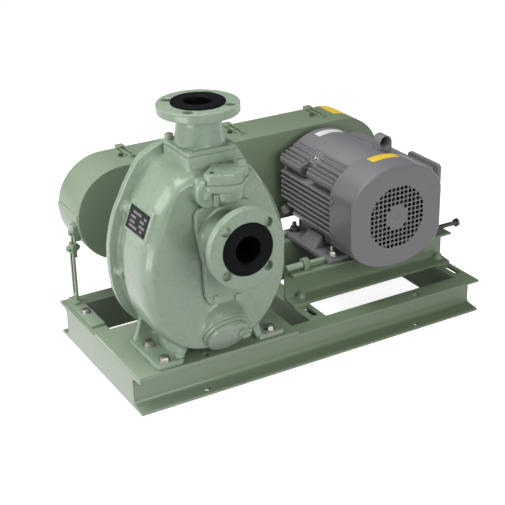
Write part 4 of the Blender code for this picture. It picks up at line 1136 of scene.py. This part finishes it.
# ---------------------------------------------------------------- motor
BODY_R, WALL, FIN_TIP = 110.5, 83.0, 106.0
top_from = math.acos(WALL / BODY_R)
outline = [(70, -84), (WALL, -66)]
for i in range(73):
    a = top_from + (pi - 2 * top_from) * i / 72
    outline.append((BODY_R * cos(a), BODY_R * sin(a)))
outline += [(-WALL, -66), (-70, -84)]
body = bev(pull([(MOT_X + u, MOT_Z + w) for u, w in outline], "Y", COWL_Y1 + 0.3, BODY_Y1), 1.8, 3, 50, only=lambda p, q: abs(p.y - q.y) < 0.1)
fins = []
for s in (-1, 1):
    for i in range(8):
        z = 213.2 + i * 11.55
        w0, w1 = 3.5, 2.7
        back = (264, 290)[i] if i < 2 else BODY_Y1 - 2.5
        prof = soft([(MOT_X + s * 76, z - w0), (MOT_X + s * FIN_TIP, z - w1, 1.5), (MOT_X + s * FIN_TIP, z + w1, 1.5), (MOT_X + s * 76, z + w0)], True, 3)
        fins.append(bev(pull(prof, "Y", COWL_Y1 + 2.5, back), 0.8, 1, 50, only=lambda p, q: abs(p.y - q.y) < 0.1))
seats = [
    block(MOT_X - 86, MOT_X - 60, 114, 262, 176, 198, 2, 2),
    block(MOT_X + 60, MOT_X + 86, 114, 262, 176, 198, 2, 2),
    block(MOT_X + 70, MOT_X + 108, 113, 195, 255, 311, 3, 3),
]
# low fins over the crown between the shoulders and the smooth top
for u in (-66, -58, 58, 66):
    base = sqrt(BODY_R**2 - u * u)
    fins.append(bev(pull([(MOT_X + u - 1.6, MOT_Z + base - 6), (MOT_X + u + 1.6, MOT_Z + base - 6), (MOT_X + u + 1.4, MOT_Z + base + 2.0), (MOT_X + u - 1.4, MOT_Z + base + 2.0)], "Y", COWL_Y1 + 4, BODY_Y1 - 5), 0.7, 2))


def shoulder(s, y0, y1, prof, ribs_u, r_end=7.0):
    """Cast pad on the motor's shoulder, with ribs along its top."""
    core = bev(pull([(MOT_X + s * u, MOT_Z + w) for u, w in soft(prof, True, 4)], "Y", y0, y1), 3.0, 4, 50, only=lambda p, q: abs(p.y - q.y) < 0.1)
    out = [core]
    for u, w, tall in ribs_u:
        n = 10
        line = [(y0 + 1.0, w - 6.0)]
        line += [(y0 + 1.5 + r_end * (1 - cos(pi / 2 * i / n)), w + tall * sin(pi / 2 * i / n)) for i in range(1, n + 1)]
        line += [(y1 - 1.5 - r_end * (1 - sin(pi / 2 * (1 - i / n))) + 0.0, w + tall * cos(pi / 2 * i / n)) for i in range(0, n)]
        line += [(y1 - 1.0, w - 6.0)]
        x = MOT_X + s * u
        rib = pull([(y, MOT_Z + z) for y, z in line], "X", x - 2.7, x + 2.7)
        out.append(bev(rib, 1.2, 2, 50))
    return join(*out)


left_prof = [(107, 55, 3), (107, 64, 4), (103, 67.5, 5), (84, 72.5, 6), (60, 70), (60, 40), (98, 44, 2)]
left_ribs = [(102.4, 67.5, 6.2), (92.0, 71.0, 7.4), (81.6, 74.5, 7.6), (71.2, 82.5, 6.4), (60.8, 90.0, 4.8)]
right_prof = [(107, 56, 3), (107, 80, 4), (102, 84, 4), (74, 87.5, 5), (50, 72), (60, 40), (98, 44, 2)]
pads = [
    shoulder(-1, COWL_Y1 + 3.3, 210, left_prof, left_ribs),
    shoulder(-1, 237, BODY_Y1 - 0.8, left_prof, left_ribs),
    shoulder(1, COWL_Y1 + 3.3, BODY_Y1 - 0.8, right_prof, []),
]
body = csg(body, block(MOT_X - 118, MOT_X - 82, 210.5, 236.5, MOT_Z + 36, MOT_Z + 80))
corner = []
for s_ in (-1, 1):
    corner.append(lathe(soft([(9.5, 298), (9.5, 316.5, 1.5), (0, 316.5)]), (MOT_X + s_ * 97, 0, MOT_Z - 60), (0, 1, 0), 32))
    corner.append(block(MOT_X + min(s_ * 80, s_ * 97), MOT_X + max(s_ * 80, s_ * 97), 299, 316, MOT_Z - 67, MOT_Z - 53, 1, 1))
piece("motor_frame_casting", join(body, *fins, *seats, *pads, *corner), MOTORP, ["motor_body"])
pad_bolts = [bolt((MOT_X - 74, 224, MOT_Z + 81.5), (-0.67, 0, 0.74), 9, 5, True, 0)]
pad_bolts += [bolt((MOT_X + s_ * 97, 298, MOT_Z - 60), (0, -1, 0), 12, 5, True, 0) for s_ in (-1, 1)]
piece("motor_case_bolts", join(*pad_bolts), ZINC)
piece("motor_label_white", arc_patch(MOT_X, MOT_Z, BODY_R, radians(-14.5), radians(20.0), 280, 301, 0.3), WHITE)

shield_b = lathe(
    soft([
        (60, BODY_Y1 + 0.3), (96, BODY_Y1 + 0.3), (96, BODY_Y1 + 8, 3), (90, BODY_Y1 + 12, 4), (70, BODY_Y1 + 17, 10), (53, SHIELD_Y1 - 3, 4), (48, SHIELD_Y1, 1.5), (21, SHIELD_Y1),
        (21, BODY_Y1 + 0.3),
    ], True, 5),
    (MOT_X, 0, MOT_Z), (0, 1, 0), 96, True,
)
shield_parts = [shield_b]
for k in range(4):
    a = radians(45 + 90 * k)
    c = Vector((MOT_X + 90 * cos(a), BODY_Y1 + 0.3, MOT_Z + 90 * sin(a)))
    shield_parts.append(lathe(soft([(10, -2), (10, 13, 2), (0, 13)]), c, (0, 1, 0), 32))
for k in range(8):
    a = radians(22.5 + 45 * k)
    rib = bev(pull([(46, 0), (92, 0), (92, 5), (70, 12), (46, 20)], "Y", -2.5, 2.5), 1.2, 2)
    shield_parts.append(([(MOT_X + x * cos(a) - y * sin(a), BODY_Y1 + 3 + z, MOT_Z + x * sin(a) + y * cos(a)) for x, y, z in rib[0]], rib[1]))
piece("motor_end_shield", join(*shield_parts), MOTORP, ["motor_drive_end_shield"])
mb = []
for k in range(4):
    a = radians(45 + 90 * k)
    mb.append(bolt((MOT_X + 90 * cos(a), BODY_Y1 + 13.3, MOT_Z + 90 * sin(a)), (0, 1, 0), 10, 4.5, True, 0, spin=k))
piece("motor_shield_bolts", join(*mb), ZINC)

# fan cover: pressed sheet with a grille of square holes


def cowl_line(half, straight, top, bottom, n=48):
    pts = []
    for s, crown in ((1, top), (-1, bottom)):
        for i in range(n + 1):
            a = pi * i / n
            pts.append((MOT_X + s * half * cos(a), MOT_Z + s * (straight + crown * sin(a))))
    return pts


def cowl_shell(line, y0, y1, r, grow=0.0):
    """Loft of the outline whose front edge is rounded over r."""
    rings = []
    for k in range(8):
        a = pi / 2 * k / 7
        inset = r * (1 - sin(a)) + grow
        y = y0 + r * (1 - cos(a))
        rings.append((y, inset))
    out = []
    for y, inset in rings:
        k = 1 - inset / 114.0
        kz = 1 - inset / 112.0
        out.append([(MOT_X + (u - MOT_X) * k, y, MOT_Z + (w - MOT_Z) * kz) for u, w in line])
    k, kz = 1 - grow / 114.0, 1 - grow / 112.0
    out.append([(MOT_X + (u - MOT_X) * k, y1, MOT_Z + (w - MOT_Z) * kz) for u, w in line])
    return loft(out)


line = cowl_line(114, 40, 74, 70)
cowl = cowl_shell(line, MOT_Y0, COWL_Y1, 5.0)
cowl = csg(cowl, cowl_shell(line, MOT_Y0 + 2.0, COWL_Y1 + 6, 3.6, 2.0))
disc = lathe([(69.0, MOT_Y0 - 4), (69.0, MOT_Y0 + 6)], (MOT_X, 0, MOT_Z + 1), (0, 1, 0), 96)
PITCH, BAR = 10.4, 2.7
holes = []
for i in range(-7, 8):
    for k in range(-7, 8):
        x0, z0 = MOT_X + i * PITCH - (PITCH - BAR) / 2, MOT_Z + 1 + k * PITCH - (PITCH - BAR) / 2
        if abs(i) <= 2 and abs(k) <= 2 and abs(i) + abs(k) < 4:
            continue
        if (i * PITCH) ** 2 + (k * PITCH) ** 2 > 71.0**2:
            continue
        holes.append(pull(soft([(x0, z0, 1.2), (x0 + PITCH - BAR, z0, 1.2), (x0 + PITCH - BAR, z0 + PITCH - BAR, 1.2), (x0, z0 + PITCH - BAR, 1.2)], True, 2), "Y", MOT_Y0 - 3, MOT_Y0 + 5))
grille = csg(join(*holes), disc, "INTERSECT")
cowl = csg(cowl, grille)
piece("fan_cover", cowl, MOTORS, ["motor_fan_cover"])
dimple = lathe(soft([(7.5, -0.2), (6.0, 0.8, 1), (3.4, 0.9), (2.2, 0.2), (0, 0.1)], False, 3), (MOT_X, MOT_Y0, MOT_Z + 1), (0, -1, 0), 32)
screws = []
for s in (-1, 1):
    for dz in (-34, 34):
        screws.append(place(lathe([(4.2, 0), (4.2, 1.2), (3.4, 2.2), (1.8, 2.4)], (0, 0, 0), (0, 0, 1), 20), (MOT_X + s * 114, COWL_Y1 - 9, MOT_Z + dz), (s, 0, 0)))
piece("fan_cover_screws", join(dimple, *screws), MOTORS)


def crown_patch(u0, u1, y0, y1, t, n=28):
    """Thin label on the crown of the fan cover."""
    us = [u0 + (u1 - u0) * i / n for i in range(n + 1)]
    top = [(MOT_X + u, MOT_Z + 40 + 74 * sqrt(1 - (u / 114) ** 2)) for u in us]
    return pull([(x, z + t) for x, z in top] + [(x, z - 0.5) for x, z in reversed(top)], "Y", y0, y1)


piece("fan_cover_label", crown_patch(-28, 40, 78, 101, 0.3), YELLOW)

# fan and inner end shield behind the grille
blades = []
for k in range(9):
    a = 2 * pi * k / 9
    pts = [(20, -1.6), (86, -1.6), (86, 1.6), (20, 1.6)]
    part = pull(pts, "Z", 48, 78)
    blades.append(([(MOT_X + x * cos(a) - y * sin(a), z, MOT_Z + x * sin(a) + y * cos(a)) for x, y, z in part[0]], part[1]))
hub = lathe(soft([(24, 44, 3), (26, 82), (92, 84), (92, 87), (20, 87)]), (MOT_X, 0, MOT_Z), (0, 1, 0), 64)
piece("fan", join(hub, *blades), FANP)
back = pull([(MOT_X + (x - MOT_X) * 0.97, MOT_Z + (z - MOT_Z) * 0.97) for x, z in line], "Y", 98, 107)
piece("fan_end_shield", back, FANP)


def motor_foot(tag, s):
    xs = sorted((MOT_X + s * 117, MOT_X + s * 60))
    z0 = FR_Z1 + 0.3
    pad = pull(corners(xs[0], xs[1], 109, 293, 6), "Z", z0, z0 + 12)
    rib = pull(
        [(MOT_X + s * 113, z0 + 4), (MOT_X + s * 113, z0 + 12), (MOT_X + s * 92, 189), (MOT_X + s * 88.4, 189), (MOT_X + s * 88.4, 175.7), (MOT_X + s * 62, 175.7), (MOT_X + s * 62, z0 + 4)],
        "Y", 168, 224,
    )
    pad = bev(pad, 1.8, 3, 50)
    rib = bev(rib, 1.6, 3, 30)
    part = join(pad, rib)
    return piece("motor_foot_pad_" + tag, part, MOTORP, [f"motor_foot_{tag}"])


motor_foot("left", -1)
motor_foot("right", 1)
fb, fbd = [], []
for s in (-1, 1):
    x = MOT_X + s * 95
    for y in (125, 277):
        (fb if y < 200 else fbd).append(bolt((x, y, 162.6), (0, 0, 1), 17, 8.5, True, 10, r=5.0, spin=0.25 + s * 0.2))
piece("motor_foot_nuts_front", join(*fb), ZINC)
piece("motor_foot_nuts_rear", join(*fbd), DARKST)
under = []
for x in (517, 707):
    for y in (122, 278):
        under.append(bolt((x, y, FR_Z1 - 7.4), (0, 0, -1), 17, 6.5, False, 0))
piece("motor_foot_bolt_heads", join(*under), BOLTP)
heads = []
for x in (438.5, 807.0):
    heads.append(bolt((x if x < 800 else 805, 125, FR_Z0 + 7.2), (0, 0, 1), 15, 7, True, 3))
    heads.append(bolt((x if x < 800 else 805, 275, FR_Z0 + 7.2), (0, 0, 1), 15, 7, True, 3))
piece("frame_seat_bolts", join(*heads), BOLTP)

# terminal box
TB0 = MOT_X + 108.3
tb = bev(pull(corners(109, 198, 252, 314, 7), "X", TB0, TB0 + 48), 1.6, 3, 50)
piece("terminal_box_body", tb, MOTORP, ["terminal_box"])
tl = bev(pull(corners(95, 205, 248, 323, 9), "X", TB0 + 48.3, TB0 + 57.5), 2.2, 3, 50)
piece("terminal_box_cover", tl, MOTORS, ["terminal_box_lid"])
ts = [place(lathe([(4, 0), (4, 1.2), (3.0, 2.4), (1.5, 2.6)], (0, 0, 0), (0, 0, 1), 20), (TB0 + 57.4, y, z), (1, 0, 0)) for y in (106, 194) for z in (259, 312)]
piece("terminal_box_screws", join(*ts), ZINC)
gl = join(
    bolt((TB0 + 24, 156, 251.7), (0, 0, -1), 27, 8, False, 0),
    lathe(soft([(12.2, 226), (12.6, 228), (12.6, 244, 1), (11, 244)]), (TB0 + 24, 156, 0), (0, 0, 1), 40),
    bolt((TB0 + 24, 156, 232), (0, 0, -1), 25, 9, False, 0, spin=0.5),
    lathe(soft([(11.6, 224), (10.8, 217, 3), (8.6, 214.2, 1), (5, 214)]), (TB0 + 24, 156, 0), (0, 0, 1), 40),
)
piece("gland", gl, BLACKP, ["cable_gland"])

# lifting eye
EX, EZ = MOT_X + 46, 383.0
lug_line = [(MOT_X + u, MOT_Z + sqrt(110.9**2 - u * u)) for u in (30, 35, 40, 45, 50, 55, 60, 62)]
lug_line += [(EX + 16 * cos(radians(a)), EZ + 16 * sin(radians(a))) for a in range(0, 181, 9)]
lug_eye = bev(pull(lug_line, "Y", 137.2, 162.8), 3.6, 4, 40, only=lambda p, q: abs(p.y - q.y) < 0.1 and p.z > 370 and q.z > 370)
eye_hole = lathe([(15.0, -13.2), (11.0, -9.6), (9.4, -5.5), (9.4, 5.5), (11.0, 9.6), (15.0, 13.2)], (EX, 150, EZ + 1), (0, 1, 0), 48)
piece("eye_lug", csg(lug_eye, eye_hole), MOTORP, ["lifting_eye"])

# shafts and pulleys
for n, m in (("pump_shaft", BRIGHT), ("motor_shaft", BRIGHT), ("pump_pulley", IRON), ("motor_pulley", IRON), ("drive_belts", BELTR)):
    for sl in NODES[n].material_slots:
        sl.material = m


# jack screws
def jack(tag, y, x_tip, x_lock, x_head, mat, plain=0.0):
    s = 1 if x_head > x_tip else -1
    parts = []
    n = 24
    bar = thread(5.0, 0.0, abs(x_tip - x_head) - 2, 1.5, n)
    parts.append(place(bar, (x_head - s * 2, y, JACK_Z), (-s, 0, 0)))
    if plain:
        parts.append(lathe(soft([(6.9, 0), (6.9, plain, 1.2), (0, plain)]), (x_lock, y, JACK_Z), (s, 0, 0), 32))
    else:
        parts.append(place(hexhead(17.0, 7.0), (x_head - s * 7, y, JACK_Z), (s, 0, 0), 0.3))
        parts.append(place(hexhead(17.0, 7.0), (x_lock, y, JACK_Z), (s, 0, 0), 0.1))
    return piece("jack_screw_" + tag, join(*parts), mat, ["jack_bolt_" + tag])


for face_tag, y in (("front", FRAME_Y0 + 19), ("rear", WIDTH - FRAME_Y0 - 19)):
    jack(face_tag + "_left", y, MOT_X - 117.3, 437.7, 423, BOLTP, 39.0 if face_tag == "front" else 0.0)
    jack(face_tag + "_right", y, MOT_X + 117.3, 784.3, 852, DARKST)

# ---------------------------------------------------------------- floor, light, camera
floor_m, nt, b, co = start("studio_floor")
nt.links.new(mix(nt, noise(nt, co, 0.8, 2.0), (0.50, 0.50, 0.50), (0.52, 0.52, 0.515)), b.inputs["Base Color"])
b.inputs["Emission Color"].default_value = (1.0, 1.0, 1.0, 1.0)
b.inputs["Emission Strength"].default_value = 0.86
b.inputs["Specular IOR Level"].default_value = 0.2
b.inputs["Roughness"].default_value = 0.75
sweep = [(7.9, 0.0), (8.0, 0.0)] + [(8.0 + 4 * sin(radians(9 * k)), 4 - 4 * cos(radians(9 * k))) for k in range(1, 11)] + [(12.0, 16.0)]
ring = [(r * cos(pi * i / 48), r * sin(pi * i / 48), z) for r, z in sweep for i in range(96)]
quads = [[96 * k + i, 96 * k + 96 + i, 96 * k + 96 + (i + 1) % 96, 96 * k + (i + 1) % 96] for k in range(len(sweep) - 1) for i in range(96)]


def stage_part(name, verts, faces, glossy):
    me = bpy.data.meshes.new(name)
    me.from_pydata(verts, [], faces)
    me.shade_smooth()
    me.materials.append(floor_m)
    ob = bpy.data.objects.new(name, me)
    scene.collection.objects.link(ob)
    ob.visible_diffuse = False
    ob.visible_glossy = glossy


# the floor under the set lies in its shadow, so it stays out of the reflections in the base
under = [(0.41, 0.2, 0.0), (-0.41, 0.2, 0.0), (-0.41, -0.2, 0.0), (0.41, -0.2, 0.0)]
fields = [[(12 + 24 * k + i) % 96 for i in range(25)] + [96 + (k + 1) % 4, 96 + k] for k in range(4)]
stage_part("floor", ring[:96] + under, fields, True)
stage_part("floor_under", under, [[0, 1, 2, 3]], False)
stage_part("wall", ring, quads, False)

world = bpy.data.worlds.new("studio")
scene.world = world
world.use_nodes = True
bg = world.node_tree.nodes["Background"]
bg.inputs["Color"].default_value = (1.0, 1.0, 1.0, 1.0)
bg.inputs["Strength"].default_value = 0.13


def area(name, at, target, size, power, size_y=None, colour=(1, 1, 1)):
    light = bpy.data.lights.new(name, "AREA")
    light.shape = "RECTANGLE"
    light.size = size
    light.size_y = size_y or size
    light.energy = power
    light.color = colour
    ob = bpy.data.objects.new(name, light)
    ob.location = at
    ob.rotation_mode = "QUATERNION"
    ob.rotation_quaternion = (Vector(at) - Vector(target)).to_track_quat("Z", "Y")
    scene.collection.objects.link(ob)
    return ob


area("left_soft", (-1.8, 0.6, 0.9), (-0.3, 0.0, 0.25), 1.6, 17, 1.0)
area("low_left", (-1.4, -0.5, 0.15), (-0.4, 0.1, 0.04), 0.8, 4, 0.3)
area("front_soft", (0.0, -2.7, 1.2), (-0.05, 0.0, 0.3), 1.8, 40, 1.4)
area("top_soft", (-0.6, 0.2, 2.3), (-0.15, 0.0, 0.2), 1.5, 36, 1.5)
area("back_top", (0.3, 0.9, 2.2), (0.0, 0.0, 0.3), 1.5, 6, 1.5)
area("right_fill", (2.4, 0.3, 0.7), (0.3, 0.1, 0.2), 1.4, 5, 0.8)

cam = bpy.data.cameras.new("camera")
cam.sensor_width = 36.0
cam.lens = 1215.0 / 505.0 * 36.0
cam.clip_start = 0.05
cam.clip_end = 60.0
co_ = bpy.data.objects.new("camera", cam)
rows = ((0.863895, 0.227368, -0.449432, -1.20138), (-0.503339, 0.357273, -0.786769, -2.02326), (-0.018316, 0.905903, 0.423090, 1.26464), (0, 0, 0, 1))
co_.matrix_world = Matrix(rows)
scene.collection.objects.link(co_)
scene.camera = co_
scene.view_settings.view_transform = "Standard"
scene.view_settings.look = "None"
scene.view_settings.exposure = 0.0
